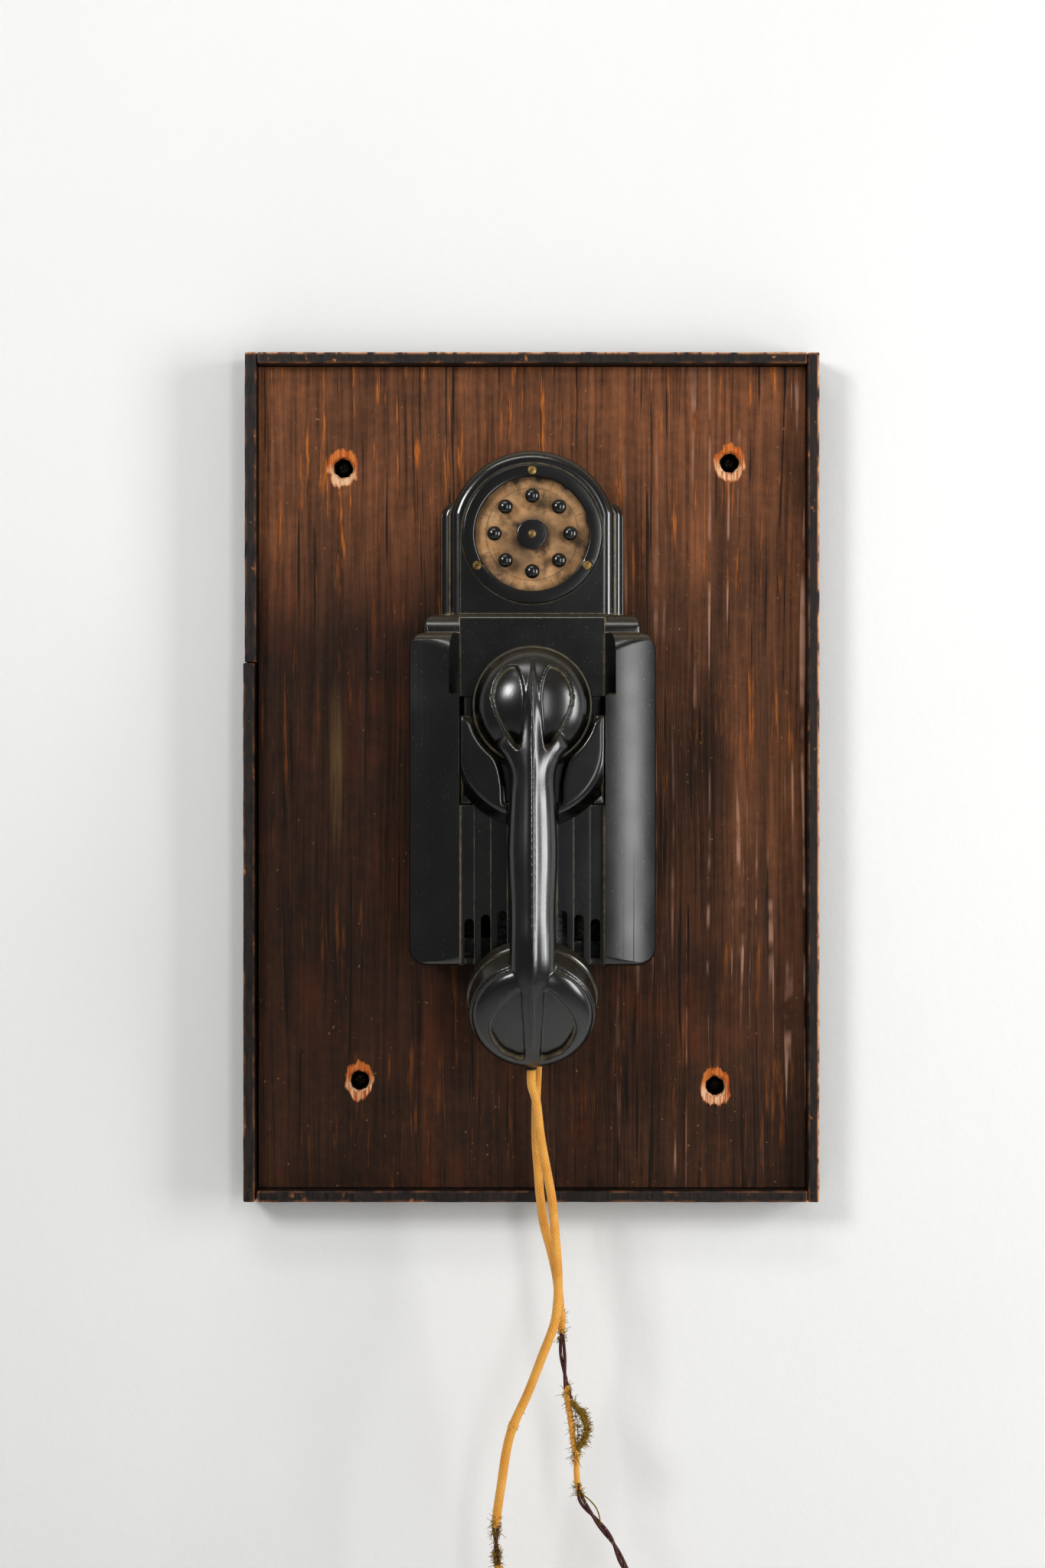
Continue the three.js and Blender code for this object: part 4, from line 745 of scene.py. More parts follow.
# ---------------------------------------------------------------- cord
# Across, up and out of the wall, from the handset's grommet, down round the loop and up to the housing.
ROUTE = (
    (-0.6, -157.5, 49.7), (-0.3, -166, 49.6), (2.2, -175, 49), (4.8, -196, 46.5), (8.8, -218, 44.5),
    (10.8, -230, 44), (11.9, -243, 44), (13.3, -259, 44), (13.9, -270, 44.5), (13.8, -282, 45.5),
    (11.8, -295.5, 46), (4.8, -314, 46), (-2.6, -333, 45.5), (-10, -349.5, 45), (-13.8, -363, 44.5),
    (-16.7, -382, 44), (-19.4, -401, 43.5), (-19.6, -415, 43), (-18.3, -428, 42.5), (-14.5, -445, 42),
    (-8, -461, 41), (2.5, -475, 40), (17, -484, 39), (33, -485.5, 38), (47, -479.5, 37),
    (57, -468, 36), (60.5, -454, 35.5), (57.5, -440.5, 35), (50, -429, 35), (43.2, -415, 35),
    (34.4, -403.5, 35), (26.6, -392.5, 35), (24.2, -380, 35.2), (24, -366, 35.4), (23, -350, 35.6),
    (18.8, -332, 35.8), (16.6, -314, 36.2), (15.7, -296, 37), (14.6, -283, 37.8), (13.2, -271, 38),
    (10.4, -258, 37.6), (6.4, -243, 37), (4.4, -229, 36.5), (3.2, -214, 36), (2, -197, 36),
    (2, -178, 34), (2.8, -160, 29), (3.2, -144, 24), (3.1, -129, 21), (3, -118, 20), (3, -109.5, 20),
)


def walked(points, spacing):
    """Points an even distance apart along a smooth curve through the given ones."""
    fine = [Vector(between(points, i / (24 * len(points)))) for i in range(24 * len(points) + 1)]
    even, gone = [fine[0]], 0.0
    for a, b in zip(fine, fine[1:]):
        gone += (b - a).length
        if gone >= spacing:
            even.append(b)
            gone = 0.0
    return even


def frames(line):
    """For each point of a line, two directions across it that turn as little as they can."""
    across = Vector((1, 0, 0))
    made = []
    for i, point in enumerate(line):
        along = (line[min(i + 1, len(line) - 1)] - line[max(i - 1, 0)]).normalized()
        across = (across - along * across.dot(along)).normalized()
        made.append((point, across.copy(), along.cross(across)))
    return made


def crossing(line, height, last=False):
    """Where along a line it first comes below a height, or where it last is."""
    below = [i for i, point in enumerate(line) if point.y <= height]
    return below[-1] if last else below[0]


def bowed(a, b, out, steps, power=1.0):
    """Points from one place to another on a curve that swings out between them."""
    shares = [i / steps for i in range(steps + 1)]
    return [a.lerp(b, t) + Vector(out) * math.sin(math.pi * t) ** power for t in shares]


SPACING = 0.8
KINK_Y = -350.5


def tube(stations, size, sides=16, shift=None, index=0):
    """A closed tube with its material, and a map of its turns round and metres along."""
    rings = []
    for i, (point, u, v) in enumerate(stations):
        centre = point + (shift(i, u, v) if shift else Vector())
        turns = [math.tau * k / sides for k in range(sides)]
        rings.append([centre + (u * math.cos(t) + v * math.sin(t)) * size(i, t) for t in turns])
    form = lofted(rings)
    form.verts.index_update()
    layer = form.loops.layers.uv.new("UVMap")
    for face in form.faces:
        face.material_index = index
        around = [loop.vert.index % sides / sides for loop in face.loops]
        wraps = max(around) - min(around) > 0.5
        for loop, u in zip(face.loops, around):
            along = loop.vert.index // sides * SPACING * MM
            loop[layer].uv = (u + 1 if wraps and u < 0.5 else u, along)
    return form


def gathered(name, forms):
    """Several closed forms in one object, each with its own map and material."""
    whole = bmesh.new()
    whole.loops.layers.uv.new("UVMap")
    for form in forms:
        mesh = bpy.data.meshes.new("form")
        form.to_mesh(mesh)
        form.free()
        whole.from_mesh(mesh)
        bpy.data.meshes.remove(mesh)
    return as_object(name, whole)


def bristles(stations, count, reach, seed, core=1.4, out=0.8, lean=0.0):
    """Loose cotton ends standing out of a cord, each a thin curved tube."""
    pick = random.Random(seed)
    forms = []
    for _ in range(count):
        point, u, v = pick.choice(stations)
        turn = pick.uniform(0, math.tau)
        side = u * math.cos(turn) + v * math.sin(turn)
        along = u.cross(v) * pick.uniform(-0.9, 0.9)
        curl = Vector([pick.gauss(0, 0.45) for _ in range(3)]) + Vector((lean, 0, 0))
        far = pick.uniform(0.35, 1) * reach
        bend = []
        for t in (i / 4 for i in range(5)):
            root = side * core * pick.uniform(0.6, 1)
            bend.append(point + root + (side * out + along + curl * t) * t * far)
        forms.append(tube(frames(bend), lambda i, t: 0.23 - 0.035 * i, 4))
    return forms


class PHONE_OT_cord(bpy.types.Operator):
    """Cloth cord from the handset round to the housing, with its frayed places"""

    bl_idname = "phone.cord"
    bl_label = "Cord"

    def execute(self, context):
        look = context.scene.phone_cord
        line = walked(ROUTE, SPACING)
        made = gathered("handset_cord_braid", self.stretches(line, look.diameter / 2 / MM))
        cloth = braid("Cotton_braid", look.cloth, look.cloth_dark, 14, 1.5)
        rubber = conductor("Rubbered_wire", look.core, look.fleck)
        for finish in (cloth, rubber):
            made.data.materials.append(finish)
        ends = gathered("cord_frayed_ends", self.ends(line))
        ends.data.materials.append(plain("Frayed_cotton", look.fray, look.fray_dark, 0.95, 900))
        for piece in (made, ends):
            piece.data.transform(FACE)
            piece.data.shade_smooth()
        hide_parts("handset_cord")
        for piece in (made, ends):
            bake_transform(piece)
        return {"FINISHED"}

    def places(self, line):
        """Where the jacket stops and starts: down the front strand, then up the rear one."""
        down = [crossing(line, y) for y in (-405, -425)]
        up = [crossing(line, y, True) for y in (-443, -386, -367, -333, -301)]
        return down + up

    def stretches(self, line, radius):
        stations = frames(line)
        cuff, again, stop, core, thin, bare, on = self.places(line)
        kink = crossing(line, KINK_Y)
        last = len(line) - 1

        def jacket(start, end, sides=20):
            def size(i, turn):
                at = start + i
                near = min(i if start else 99, end - at if end < last else 99)
                ragged = noise.noise((math.cos(turn) * 2, math.sin(turn) * 2, at * 0.6))
                fold = noise.noise((math.cos(turn), math.sin(turn), at * 0.018))
                lump = noise.noise((0, 5, at * 0.05))
                ring = math.exp(-((at - kink) / 1.6) ** 2) * 0.35
                gone = (1 - min(near / 4, 1)) * (0.3 - 0.3 * ragged)
                return radius * (0.985 + 0.045 * fold + 0.025 * lump - gone) + ring
            return tube(stations[start:end + 1], size, sides)

        def wires(start, end):
            """Two conductors twisted round each other, a turn in 26 mm."""
            forms = []
            for turned in (0, math.pi):
                def shift(i, u, v):
                    at = start + i
                    phase = turned + at * SPACING / 26 * math.tau
                    apart = 0.95 + 0.12 * math.sin(at * 0.21)
                    return (u * math.cos(phase) + v * math.sin(phase)) * apart
                forms.append(tube(stations[start:end + 1], lambda i, t: 0.92, 8, shift, 1))
            return forms

        def slim(i, t):
            return 1.65 + 0.25 * noise.noise((math.cos(t), math.sin(t), i * 0.3))

        def left(i, u, v):
            return Vector((-2.0, 0, 0)) * math.sin(math.pi * i / (bare - thin + 4))

        return [
            jacket(0, cuff), *wires(cuff - 3, again + 3), jacket(again, stop), *wires(stop - 3, core + 3),
            tube(stations[core - 1:thin + 2], slim, 14), tube(stations[thin - 2:bare + 3], slim, 14, left),
            *wires(bare - 3, on + 3), jacket(on, last),
        ]

    def ends(self, line):
        stations = frames(line)
        cuff, again, stop, core, thin, bare, on = self.places(line)
        kink = crossing(line, KINK_Y)
        forms = []
        # first and last station, then how many, how long, which seed, and how far out they start
        for first, last, *given in (
            (kink - 1, kink + 2, 26, 1.6, 1, 2.4), (cuff - 4, cuff + 4, 130, 3.4, 2, 1.8),
            (cuff + 6, again - 4, 60, 2.6, 3, 1.2), (again - 7, again + 2, 110, 3.2, 4, 1.8),
            (stop - 3, stop + 4, 30, 3, 5, 1.8), (core - 4, core + 4, 75, 3.4, 6, 1.5),
            (thin - 4, thin + 6, 60, 3.6, 7, 1.4), (bare - 14, bare + 3, 170, 3.8, 8, 1.5),
            (thin, thin + 12, 120, 3.4, 12, 1.5), (on - 3, on + 10, 90, 2.6, 9, 2.0),
        ):
            forms += bristles(stations[first:last], *given)
        forms += bristles(stations[0:kink:6] + stations[on::6], 60, 1.3, 10, 2.3)
        # the loose half of the split jacket, bowed out to the right
        bow = bowed(line[thin + 2], line[bare - 4], (7.2, 0, 1.5), 40, 0.8)
        loose = frames(bow)

        def lumpy(i, t):
            return 1.35 + 0.4 * noise.noise((math.cos(t), math.sin(t), i * 0.4))

        forms.append(tube(loose, lumpy, 12))
        forms += bristles(loose[3:39], 420, 3.4, 11, 1.1, 0.7, 0.3)
        # one strand pulled out of the lower pair
        strand = bowed(line[core - 2], line[core - 22], (3.2, 1.2, 1), 12)
        forms.append(tube(frames(strand), lambda i, t: 0.38, 6))
        return forms



# ---------------------------------------------------------------- board
def ragged_hole(seed):
    """A screw hole torn wider at its mouth, as a form to take away."""
    form = spun([(0, -8), (4.7, -8), (4.9, -3), (5.2, -1.6), (6.5, 0.02), (7, 1), (0, 1)], 48)
    for v in form.verts:
        turn = math.atan2(v.co.y, v.co.x)
        at_mouth = min(max((v.co.z + 5) / 5, 0), 1)
        rough = noise.noise((2.2 * math.cos(turn), 2.2 * math.sin(turn), 0.3 * v.co.z + 7 * seed))
        v.co.xy *= 1 + 0.2 * rough * at_mouth
    return form


WEAR_SEED = 3  # any number but nought, which would take the seed from the clock


def weathered(form, low, high, pitch=5.0, amount=0.3):
    """Cuts a strip across its length and dents it a little, most at its corners."""
    k = 0 if high.x - low.x > high.y - low.y else 1
    across = Vector((1 - k, k, 0))
    for i in range(1, int((high[k] - low[k]) / pitch)):
        geom = form.verts[:] + form.edges[:] + form.faces[:]
        spot = Vector(low)
        spot[k] = low[k] + i * pitch
        bmesh.ops.bisect_plane(form, geom=geom, plane_co=spot, plane_no=across)
    for v in form.verts:
        dent = noise.noise_vector(v.co * 0.09) * 0.6 + noise.noise_vector(v.co * 0.35) * 0.4
        v.co += dent * amount
    return form


class PHONE_OT_board(bpy.types.Operator):
    """Pine panel with its torn screw holes, the edging strips and the board's screws"""

    bl_idname = "phone.board"
    bl_label = "Board"

    def execute(self, context):
        look = context.scene.phone_board
        low, high = face_box("board_panel")
        panel = block(low.x, high.x, low.y, high.y, low.z, high.z, 0.5, 2)
        changes = []
        for i, (x, y) in enumerate(HOLES):
            changes += less(moved(ragged_hole(i), x, y), moved(disc(2.6, -18, 1), x, y))
        made = cut("pine_panel", panel, changes)
        finished(made, "housing", pine_panel("Stained_pine", look), ["board_panel"], 30)

        wood = strip_wood("Painted_lattice", look)
        for name in ("trim_right", "trim_left_upper", "trim_left_lower", "trim_top", "trim_bottom"):
            low, high = face_box(name)
            strip = block(low.x, high.x, low.y, high.y, low.z, high.z, 0.8, 3)
            made = as_object(f"edging_{name}", weathered(strip, low, high))
            finished(made, "housing", wood, [name], 50)

        black = metal("Blacked_steel", linear("#1b1a19"), linear("#3a3028"), 0.45)
        profile = [(0, -4.7), (2.4, -4.9), (3.9, -6.1), (4.3, -7.2), (4.3, -7.7), (2.3, -7.7), (2.3, -15),
                   (0, -15.5)]
        for i, (x, y) in enumerate(HOLES):
            cross = less(*(block(-w, w, -h, h, -6.4, 0, 0.15, 1) for w, h in ((2.3, 0.5), (0.5, 2.3))))
            made = cut(f"wall_screw_{i + 1}", spun(profile, 40), cross)
            made.data.transform(Matrix.Translation((x, y, 0)) @ Matrix.Rotation(0.3 + i, 4, "Z"))
            finished(made, "housing", black, [f"board_screw_{i + 1}"], 40)
        return {"FINISHED"}


# ---------------------------------------------------------------- mouldings
GAP = 0.3
WALL = 3
PLATE_FRONT = 4.3
MOULD_BACK = 4.6
COVER = (-66.5, 66.5, -101.5, 78)
COLUMN_INNER = 39.2
COLUMN_DEPTH = 56
PANEL_DEPTH = 36
WINDOW = (-15, 44)
STEP_PITCH = 8.9
SHOULDER = (-59.5, 59.5, -15, 88.5)
NECK_FOOT = 88.8
SELECTOR_Y = 132.6


def grown(box, by):
    return box[0] - by, box[1] + by, box[2] - by, box[3] + by


def cover_outline(grow):
    return rounded(*grown(COVER, grow), 10 + grow, 10)


def shoulder_outline(grow):
    x0, x1, y0, y1 = grown(SHOULDER, grow)
    return rounded(x0, x1, SHOULDER[2], y1, (0, 8 + grow, 8 + grow, 0), 10)


def wing_outline(grow, foot):
    return rounded(-49.6 - grow, 49.6 + grow, foot, 152 + grow, (0, 9 + grow, 9 + grow, 0), 10)


def arch_outline(grow, foot):
    radius, half = 46.2 + grow, 44.8 + grow
    start = math.degrees(math.acos(half / radius))
    return [(-half, foot), (half, foot)] + arc(0, SELECTOR_Y, radius, start, 180 - start, 56)


def column(side, inset=0.0):
    """A side column with a crowned front, rounded round the cover's outline."""
    inner, outer, front = COLUMN_INNER + inset, COVER[1] - inset, COLUMN_DEPTH - inset
    back = MOULD_BACK - (1 if inset else 0)
    crown = []
    for i in range(25):
        across = i / 24
        crown.append((side * (inner + (outer - inner) * across), front - 0.4 * across - 2.6 * across**2))
    body = prism([(side * inner, back), *crown, (side * outer, back)], COVER[2], COVER[3])
    low, high = sorted((side * (inner - 1), side * (outer + 1)))
    made = cut("column", body, [
        ("INTERSECT", plate(cover_outline(-inset), back, front, 6 - inset / 2, 8)),
        ("INTERSECT", crowned(low, high, COVER[2] - 1, COVER[3] - inset, back, front, 13)),
        ("DIFFERENCE", slant(side, inset)),
    ])
    return taken(made)


def crowned(x0, x1, y0, y1, back, front, radius):
    """A block whose top front edge is a wide curve."""
    curve = [(y1 - radius + radius * math.sin(t), front - radius * 0.8 + radius * 0.8 * math.cos(t))
             for t in (math.pi / 2 * i / 16 for i in range(17))]
    form = plate([(z, -y) for y, z in [(y0, back), (y0, front), *curve, (y1, back)]], x0, x1)
    # drawn in depth and height, then turned so that its length runs across
    bmesh.ops.transform(form, matrix=Matrix(((0, 0, 1, 0), (0, -1, 0, 0), (1, 0, 0, 0), (0, 0, 0, 1))),
                        verts=form.verts)
    bmesh.ops.recalc_face_normals(form, faces=form.faces)
    return form


def slant(side, inset=0.0):
    """What a column's inner wall loses above the window, where it leans over."""
    slope, foot, front = 5.6 / (COLUMN_DEPTH - PANEL_DEPTH), COLUMN_INNER + inset, COLUMN_DEPTH + WALL
    return prism([
        (side * (foot - 2), PANEL_DEPTH - inset), (side * foot, PANEL_DEPTH - inset),
        (side * (foot + slope * (front - PANEL_DEPTH + inset)), front), (side * (foot - 2), front),
    ], WINDOW[1], COVER[3] + 1)


def ribs(y0, y1, inset=0.0, rounding=0.0):
    forms = []
    for i in range(5):
        reach = STEP_PITCH * (4.5 - i) if i else COLUMN_INNER + 0.8
        forms.append(block(-reach, reach, y0, y1, MOULD_BACK, 46 + i - inset, rounding, 2))
    return forms


class PHONE_OT_mouldings(bpy.types.Operator):
    """Back plate, neck and front cover"""

    bl_idname = "phone.mouldings"
    bl_label = "Mouldings"

    def execute(self, context):
        black = bakelite("Bakelite_housing", context.scene.phone_moulding)
        lip = 1.2
        outlines = [cover_outline(lip), shoulder_outline(lip), wing_outline(lip, 44), arch_outline(lip, 44)]
        first, *rest = (plate(outline, GAP, PLATE_FRONT, 0.8, 3) for outline in outlines)
        finished(cut("base_plate", first, more(*rest)), "housing", black, ["back_plate"])
        self.neck(black)
        self.cover(black)
        return {"FINISHED"}

    def neck(self, black):
        low = NECK_FOOT - 30
        inside = MOULD_BACK - 1
        arch, wing, floor = 30, 20, 25.4
        seat = middle("selector_ring")
        changes = more(
            plate(arch_outline(0, low), MOULD_BACK, arch, 6, 8),
            block(-39, 39, low, seat.y, 26, arch + 0.8, 0.35, 2),
        ) + less(
            plate(wing_outline(-WALL, low), inside, wing - WALL),
            plate(arch_outline(-WALL, low), inside, arch - WALL),
        ) + more(
            moved(disc(41, floor, floor + WALL, 96), 0, seat.y),
        ) + less(
            block(-99, 99, low - 20, NECK_FOOT, -9, 99),
        ) + more(
            block(-44, 44, NECK_FOOT, NECK_FOOT + WALL, MOULD_BACK, 28),
        ) + less(
            moved(disc(38.4, floor + WALL, 40, 96, 38.9), 0, seat.y),
            moved(disc(33, 20, 40, 96), 0, seat.y),
        )
        made = cut("neck_moulding", plate(wing_outline(0, low), MOULD_BACK, wing, 4, 6), changes)
        finished(made, "housing", black, ["neck_housing"])

    def cover(self, black):
        inside = MOULD_BACK - 1
        x0, x1, _, top = SHOULDER
        shoulder = cut("shoulder", plate(shoulder_outline(0), MOULD_BACK, PANEL_DEPTH, 4, 6), [
            ("INTERSECT", crowned(x0 - 1, x1 + 1, -16, top, inside, PANEL_DEPTH, 10)),
        ])
        rise = crowned(-COLUMN_INNER, COLUMN_INNER, 20, top - 0.3, MOULD_BACK, PANEL_DEPTH + 0.3, 3)
        changes = more(
            taken(shoulder), rise, *(column(side) for side in (-1, 1)), *ribs(COVER[2], WINDOW[0], 0, 0.4),
        ) + less(
            plate(cover_outline(-WALL), inside, PANEL_DEPTH - WALL),
            plate(shoulder_outline(-WALL), inside, PANEL_DEPTH - WALL),
            *(column(side, WALL) for side in (-1, 1)),
            *ribs(COVER[2] + WALL, WINDOW[0] - WALL, WALL),
            block(-COLUMN_INNER, COLUMN_INNER, *WINDOW, inside, 99),
        )
        # slots between the ribs, open at the bottom
        half = 2.6
        for side in (-1, 1):
            for i in range(4):
                x = side * (STEP_PITCH * (i + 0.5) + 2.9)
                foot = COVER[2] - 1
                slot = arc(x, -72.5 - 2.2 * i, half, 0, 180, 16)
                changes += less(plate([(x - half, foot), (x + half, foot)] + slot, 37, 99))
        made = cut("front_moulding", plate(cover_outline(0), MOULD_BACK, PANEL_DEPTH, 4, 6), changes)
        finished(made, "housing", black, ["front_cover"])


# ---------------------------------------------------------------- hook cradle
def bowl_ring(radius, depth):
    points = arc(0, 17, radius, 180, 360, 64) + [(radius, 53), (-radius, 53)]
    return [(x, y, depth) for x, y in points]


def notch_outline(gap=3.3, steps=12):
    """The opening in the lip: round the receiver's dome, drawn in to the handle's neck."""
    radius, neck, foot, centre = 31.1 + gap, 12.4 + gap, -15, EAR_Y
    leave = math.radians(42)
    end = (radius * math.sin(leave), centre - radius * math.cos(leave))
    curve = []
    for i in range(steps):
        t = i / steps
        a, b, c = (1 - t) ** 2, 2 * t * (1 - t), t * t
        curve.append((a * neck + b * neck + c * end[0], a * foot + b * (centre - radius + 4) + c * end[1]))
    return curve + arc(0, centre, radius, 42 - 90, 270 - 42, 64) + [(-x, y) for x, y in reversed(curve)]


class PHONE_OT_cradle(bpy.types.Operator):
    """Sliding hook that the receiver hangs in"""

    bl_idname = "phone.cradle"
    bl_label = "Hook cradle"

    def execute(self, context):
        black = bakelite("Bakelite_hook", context.scene.phone_moulding, 0.8)
        half, top = face_box("hook_cradle")[1].x, 33
        bowl = lofted([bowl_ring(*ring) for ring in (
            (45, 51), (44.8, 52.2), (39.6, 60.2), (39.2, 61), (38.4, 61.4), (37.6, 61.8), (36.9, 62),
        )])
        changes = [("INTERSECT", block(-half, half, -29, top, 0, 99))]
        changes += more(block(-half, half, -14.4, top, 37.2, 52))
        changes += less(
            moved(disc(33.8, 39.4, 55.2, 96), 0, EAR_Y),
            plate(notch_outline(), 54.2, 99),
            block(-13, 13, -29, -14, 50, 99),
            block(-33, 33, -11.4, 0.5, 36, 51),
        )
        # the lip's tips slope, and two runners with a foot each go back into the cover
        for side in (-1, 1):
            tip = [(half + 1, top + 0.5), (half - 7, top - 5), (half - 7, top + 9), (half + 1, top + 9)]
            changes += less(plate([(side * x, y) for x, y in tip], 52.2, 99))
            x0, x1 = sorted((side * 31.5, side * 37.5))
            changes += more(block(x0, x1, -14.4, 58, 28, 32.5), block(x0, x1, -14.4, 27, 28, 38.2))
        changes += more(block(-5, 5, 6, 12, 24, 38.2))
        made = remeshed(cut("receiver_hook", bowl, changes), 0.75, 4)
        finished(made, "hook", black, ["hook_cradle"], 70, False)
        return {"FINISHED"}


# ---------------------------------------------------------------- selector
RING_FRONT = 32.7
RING_SEAT = 28.7
SCREW_CIRCLE = 34.6
SCREW_ANGLES = (90, 210, 330)
BUTTON_CIRCLE = 20.6


def polar(radius, angle, y=0.0):
    return arc(0, y, radius, angle, angle, 1)[0]


def slotted(name, head, shank, back, front, tip, turn, place):
    """A slotted screw with a slightly domed head."""
    profile = [(0, front), (head * 0.5, front - 0.05), (head * 0.92, front - 0.25), (head, front - 0.5),
               (head, back), (shank, back), (shank, tip), (0, tip)]
    slot = block(-head * 2, head * 2, -0.36, 0.36, front - 0.75, front + 1)
    made = cut(name, spun(profile, 40), less(slot))
    made.data.transform(Matrix.Translation(place) @ Matrix.Rotation(math.radians(turn), 4, "Z"))
    return made


class PHONE_OT_selector(bpy.types.Operator):
    """Ring, card, buttons and screws of the selector"""

    bl_idname = "phone.selector"
    bl_label = "Selector"

    def execute(self, context):
        look = context.scene.phone_selector
        black = bakelite("Bakelite_selector", context.scene.phone_moulding, 0.5)
        brass = metal("Aged_brass", look.brass, look.tarnish, 0.32)
        y = middle("selector_ring").y
        front, back = RING_FRONT, RING_SEAT
        profile = [(31.2, back), (38, back), (38, front - 0.9), (37.7, front - 0.35), (37.1, front),
                   (32.4, front), (31.6, front - 0.25), (31.2, front - 0.8), (31.2, back)]
        sunk = front - 1.4
        changes = []
        for angle in SCREW_ANGLES:
            place = polar(SCREW_CIRCLE, angle)
            changes += less(moved(disc(2.8, sunk, 40, 40, 2.9), *place), moved(disc(1.5, 20, 40), *place))
        ring = cut("ring_moulding", spun(profile, 128), changes)
        ring.data.transform(Matrix.Translation((0, y, 0)))
        finished(ring, "housing", black, ["selector_ring"])
        for i, (angle, turn) in enumerate(zip(SCREW_ANGLES, (32, 50, 75))):
            place = (*polar(SCREW_CIRCLE, angle, y), 0)
            made = slotted(f"ring_fixing_{i + 1}", 2.5, 1.2, sunk + GAP, front + 0.3, 25.4, turn, place)
            finished(made, "housing", brass, [f"ring_screw_{i + 1}"], 40)

        places = [polar(BUTTON_CIRCLE, 90 + 45 * i) for i in range(8)]
        sheet = spun([(1.7, 27.8), (32.7, 27.8), (32.7, 28.4), (1.7, 28.4), (1.7, 27.8)], 96)
        card = cut("printed_card", sheet, less(*(moved(disc(2.7, 20, 40), *place) for place in places)))
        card.data.transform(Matrix.Translation((0, y, 0)))
        finished(card, "housing", aged_paper("Aged_card", look), ["dial_card"])

        knob = [(0, 35.8), (1.2, 35.72), (2.3, 35.4), (3.2, 34.8), (3.8, 33.9), (4.05, 32.9), (3.95, 32.5),
                (3.5, 32.3), (2.4, 32.3), (2.4, 23.2), (3.6, 23.2), (3.6, 21.7), (1.4, 20.2), (0, 20.2)]
        for i, (x, up) in enumerate(places):
            made = as_object(f"push_button_{i + 1}", moved(spun(knob, 40), x, up + y))
            finished(made, f"button_{i + 1}", black, [f"button_{i + 1}"], 50)
        clamp = [
            (1.7, 31.1), (7.5, 31.1), (8.05, 30.85), (8.25, 30.3),
            (8.25, back), (1.7, back), (1.7, 31.1),
        ]
        made = as_object("card_clamp", moved(spun(clamp, 64), 0, y))
        finished(made, "housing", black, ["clamp_disc"])
        made = slotted("clamp_fixing", 2.1, 1.4, 31.4, 32.5, 16.8, 75, (0, y, 0))
        finished(made, "housing", brass, ["clamp_screw"], 40)
        return {"FINISHED"}


# ---------------------------------------------------------------- handset
# Height, depth of the ridge, depth of the back, and half width.
HANDLE = (
    (63, 67.0, 58, 2.0), (50, 75.0, 58, 4.5), (38, 77.4, 58, 7.5), (26, 78.6, 57.5, 14),
    (17, 79.4, 57, 19.3), (9, 80.6, 57, 14.9), (1, 82.3, 58.5, 12.4), (-14, 85.4, 64.2, 12.6),
    (-40, 89.8, 67.2, 13.6), (-68, 93, 71.5, 12.4), (-87, 95, 76, 12.2), (-104, 93.6, 74, 12.2),
    (-117, 88.6, 66, 9.5), (-131, 81.6, 60, 5.8), (-144, 71.5, 53, 4.4), (-155.5, 57.5, 49, 2.8),
)
# From the middle of the back to the ridge: share of the half width, share of the way forward.
SECTION = (
    (0, 0), (0.45, 0), (0.78, 0.06), (0.95, 0.19), (1, 0.34), (0.97, 0.47), (0.88, 0.61), (0.74, 0.72),
    (0.56, 0.81), (0.36, 0.88), (0.17, 0.935), (0.085, 0.97), (0.045, 1),
)
EAR_Y = 38.4
MOUTH = Matrix.Translation((0, -115.2, 50)) @ Matrix.Rotation(math.radians(31.4), 4, "X")


def bun(radius, back, rim, top):
    """A shallow drum with a rounded dome on it; a fine line parts the two."""
    drum = [(0, back), (radius - 0.5, back), (radius, back + 0.5)]
    drum += [(radius, rim - 0.4), (radius - 0.6, rim - 0.1)]
    return drum + dome(radius - 0.8, rim, top, 28) + [(0, top)]


def handle_form(stations=90):
    rings = []
    outline = [*SECTION, *((-u, v) for u, v in reversed(SECTION[1:]))]
    for i in range(stations + 1):
        y, front, back, wide = between(HANDLE, i / stations)
        rings.append([(u * wide, y, back + (front - back) * v) for u, v in outline])
    return lofted(rings)


# The hollows beside the keel as seen from the front: over the receiver, and over the transmitter.
EAR_HOLLOW = ((7.3, 14.5), (5.0, 30), (4.6, 47), (9.2, 59), (17.8, 54.6), (21.6, 41), (15.2, 24.5))
MOUTH_HOLLOW = (
    (7, -111.5), (5.4, -124), (4.6, -138), (4.6, -150.5),
    (12, -149), (18.5, -144.5), (23.4, -133), (18, -121),
)


def hollow_floor(radius, rim, top, place=None):
    """A hollow's domed floor, and everything behind it."""
    profile = [(0, 0), (radius + 12, 0), (radius + 12, rim)] + dome(radius, rim, top, 24) + [(0, top)]
    return spun(profile, 96, place)


def hollow(points, side, floor):
    """What a hollow takes away: all that stands in front of its floor, inside its outline."""
    loop = [points[-1], *points, points[0], points[1]]
    count = len(points)
    outline = [between(loop, (1 + count * i / 72) / (count + 2)) for i in range(72)]
    tear = plate([(side * x, y) for x, y in outline], 40, 140)
    return taken(cut("hollow", tear, less(floor)))


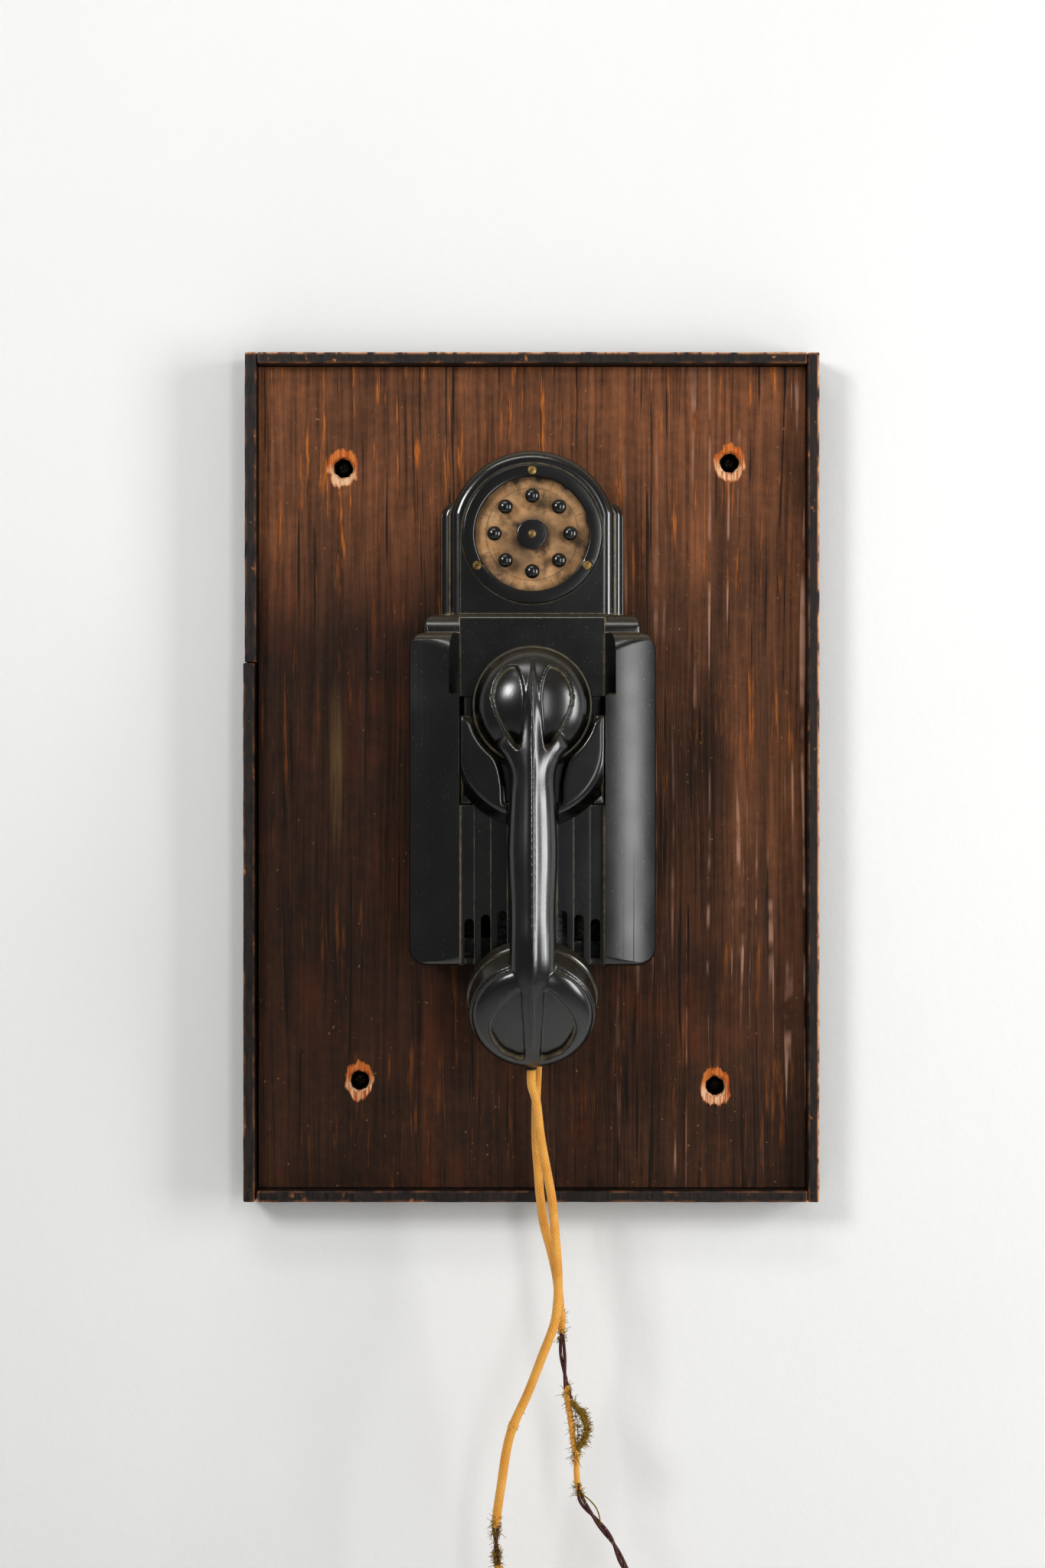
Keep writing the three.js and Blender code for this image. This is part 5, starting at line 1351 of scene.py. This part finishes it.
class PHONE_OT_handset(bpy.types.Operator):
    """Handset shell with its keel, the two caps and the cord bush"""

    bl_idname = "phone.handset"
    bl_label = "Handset"

    def execute(self, context):
        black = bakelite("Bakelite_handset", context.scene.phone_moulding, 0.6, 0.04)
        band = [(0, 8.3), (33.8, 8.3), (34.2, 8.7), (33.7, 21.2), (33.2, 21.8), (31.9, 22), (31.9, 23.2),
                (32.3, 23.4)]
        bulb = spun(band + dome(32.3, 23.6, 33.5, 28) + [(0, 33.5)], 96, MOUTH)
        changes = more(bulb, handle_form())
        for side in (-1, 1):
            changes += less(hollow(EAR_HOLLOW, side, moved(hollow_floor(27.2, 56.2, 71.6), 0, EAR_Y)))
            changes += less(hollow(MOUTH_HOLLOW, side, hollow_floor(31.2, 20.8, 30.2, MOUTH)))
        changes += less(moved(disc(26, 52, 61, 64), 0, EAR_Y), disc(28, 7, 16.5, 64, place=MOUTH))
        receiver = moved(spun(bun(31.1, 53.3, 56.2, 73.5), 96), 0, EAR_Y)
        shell = remeshed(cut("handset_body", receiver, changes), 0.6, 4)
        finished(shell, "handset", black, ["handset_shell"], 70, False)

        cap = [
            (0, 43.2), (12, 42.7), (24, 41.5), (30, 41), (31.6, 41.4), (32.5, 42.6),
            (32.6, 44), (32.6, 52.4), (32.2, 53), (27.4, 53), (27.4, 46.5), (0, 46.5),
        ]
        made = cut("earpiece_cap", spun(cap, 96), self.drilled(6, 8, 38, 50))
        made.data.transform(Matrix.Translation((0, EAR_Y, 0)))
        finished(made, "handset", black, ["ear_cap"])
        cap = [(0, -3), (13, -2.5), (25, -1.2), (32.8, 0), (34.6, 0.7), (35.2, 2), (35.2, 7.4), (34.6, 8),
               (29.2, 8), (29.2, 2.6), (0, 0.8)]
        made = cut("mouthpiece_moulding", spun(cap, 96), self.drilled(8, 13, -9, 5))
        made.data.transform(MOUTH)
        finished(made, "handset", black, ["mouthpiece_cap"])
        sleeve = [(0, -157.4), (2.7, -157.4), (3.0, -157), (3.3, -151), (3.3, -146), (0, -146)]
        made = as_object("cord_sleeve", spun(sleeve, 32))
        made.data.transform(Matrix.Translation((-0.6, 0, 49.7)) @ Matrix.Rotation(math.radians(-90), 4, "X"))
        rubber = plain("Hard_rubber_sleeve", linear("#171413"), linear("#292421"), 0.7)
        finished(made, "handset", rubber, ["handset_grommet"])
        return {"FINISHED"}

    def drilled(self, count, pitch, back, front):
        """Sound holes: one in the middle and a ring of them."""
        places = [(0, 0)] + [arc(0, 0, pitch, 360 * i / count, 0, 1)[0] for i in range(count)]
        return less(*(moved(disc(1.5, back, front, 20), x, y) for x, y in places))



# ---------------------------------------------------------------- works
class PHONE_OT_works(bpy.types.Operator):
    """Finishes for the pieces that keep their own shapes"""

    bl_idname = "phone.works"
    bl_label = "Works and fixings"

    def execute(self, context):
        finishes = {
            "steel": metal("Plated_steel", linear("#8f9294"), linear("#5d5a55"), 0.35),
            "black_steel": metal("Blacked_steel_small", linear("#1b1a19"), linear("#3a3028"), 0.45),
            "brass": metal("Sheet_brass", linear("#a9874a"), linear("#5a4524"), 0.35),
            "tinplate": metal("Tinplate", linear("#4d4c48"), linear("#2c2b28"), 0.45),
            "insulator": plain("Paper_laminate", linear("#5a3319"), linear("#3a1f10"), 0.5),
            "enamel": plain("Enamelled_wire", linear("#2c0f09"), linear("#190805"), 0.45, 1200),
            "rubber": plain("Hard_rubber", linear("#1a1716"), linear("#2b2724"), 0.7),
        }
        made_of = {
            "steel": "chassis_plate lever_bracket button_plate lever_pin spring_star "
                     "plate_screw_ terminal_screw_",
            "black_steel": "hook_lever buzzer_frame buzzer_armature",
            "brass": "contact_pile cover_screw_",
            "tinplate": "condenser receiver_capsule transmitter_capsule",
            "insulator": "contact_board terminal_block",
            "enamel": "buzzer_coil induction_coil",
            "rubber": "handset_grommet housing_grommet",
        }
        for name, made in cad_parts.items():
            if not made.hide_render:
                kind = [k for k, starts in made_of.items() if name.startswith(tuple(starts.split()))]
                for place in made.material_slots:
                    place.material = finishes[kind[0]]
        return {"FINISHED"}


OPERATORS = (
    PHONE_OT_stage, PHONE_OT_cord, PHONE_OT_board, PHONE_OT_mouldings, PHONE_OT_cradle,
    PHONE_OT_selector, PHONE_OT_handset, PHONE_OT_works,
)


class PHONE_PT_panel(bpy.types.Panel):
    bl_label = "Wall telephone"
    bl_idname = "PHONE_PT_panel"
    bl_space_type = "VIEW_3D"
    bl_region_type = "UI"
    bl_category = "Telephone"

    def draw(self, context):
        for name in LOOKS:
            for field in LOOKS[name].__annotations__:
                self.layout.prop(getattr(context.scene, name), field)
        for operator in OPERATORS:
            self.layout.operator(operator.bl_idname)


def register():
    for made in (*LOOKS.values(), *OPERATORS, PHONE_PT_panel):
        bpy.utils.register_class(made)
    for name, look in LOOKS.items():
        setattr(bpy.types.Scene, name, PointerProperty(type=look))


def unregister():
    for name in LOOKS:
        delattr(bpy.types.Scene, name)
    for made in reversed((*LOOKS.values(), *OPERATORS, PHONE_PT_panel)):
        bpy.utils.unregister_class(made)


def main():
    register()
    noise.seed_set(WEAR_SEED)
    for operator in OPERATORS:
        group, name = operator.bl_idname.split(".")
        getattr(getattr(bpy.ops, group), name)()


if __name__ == "__main__":
    main()
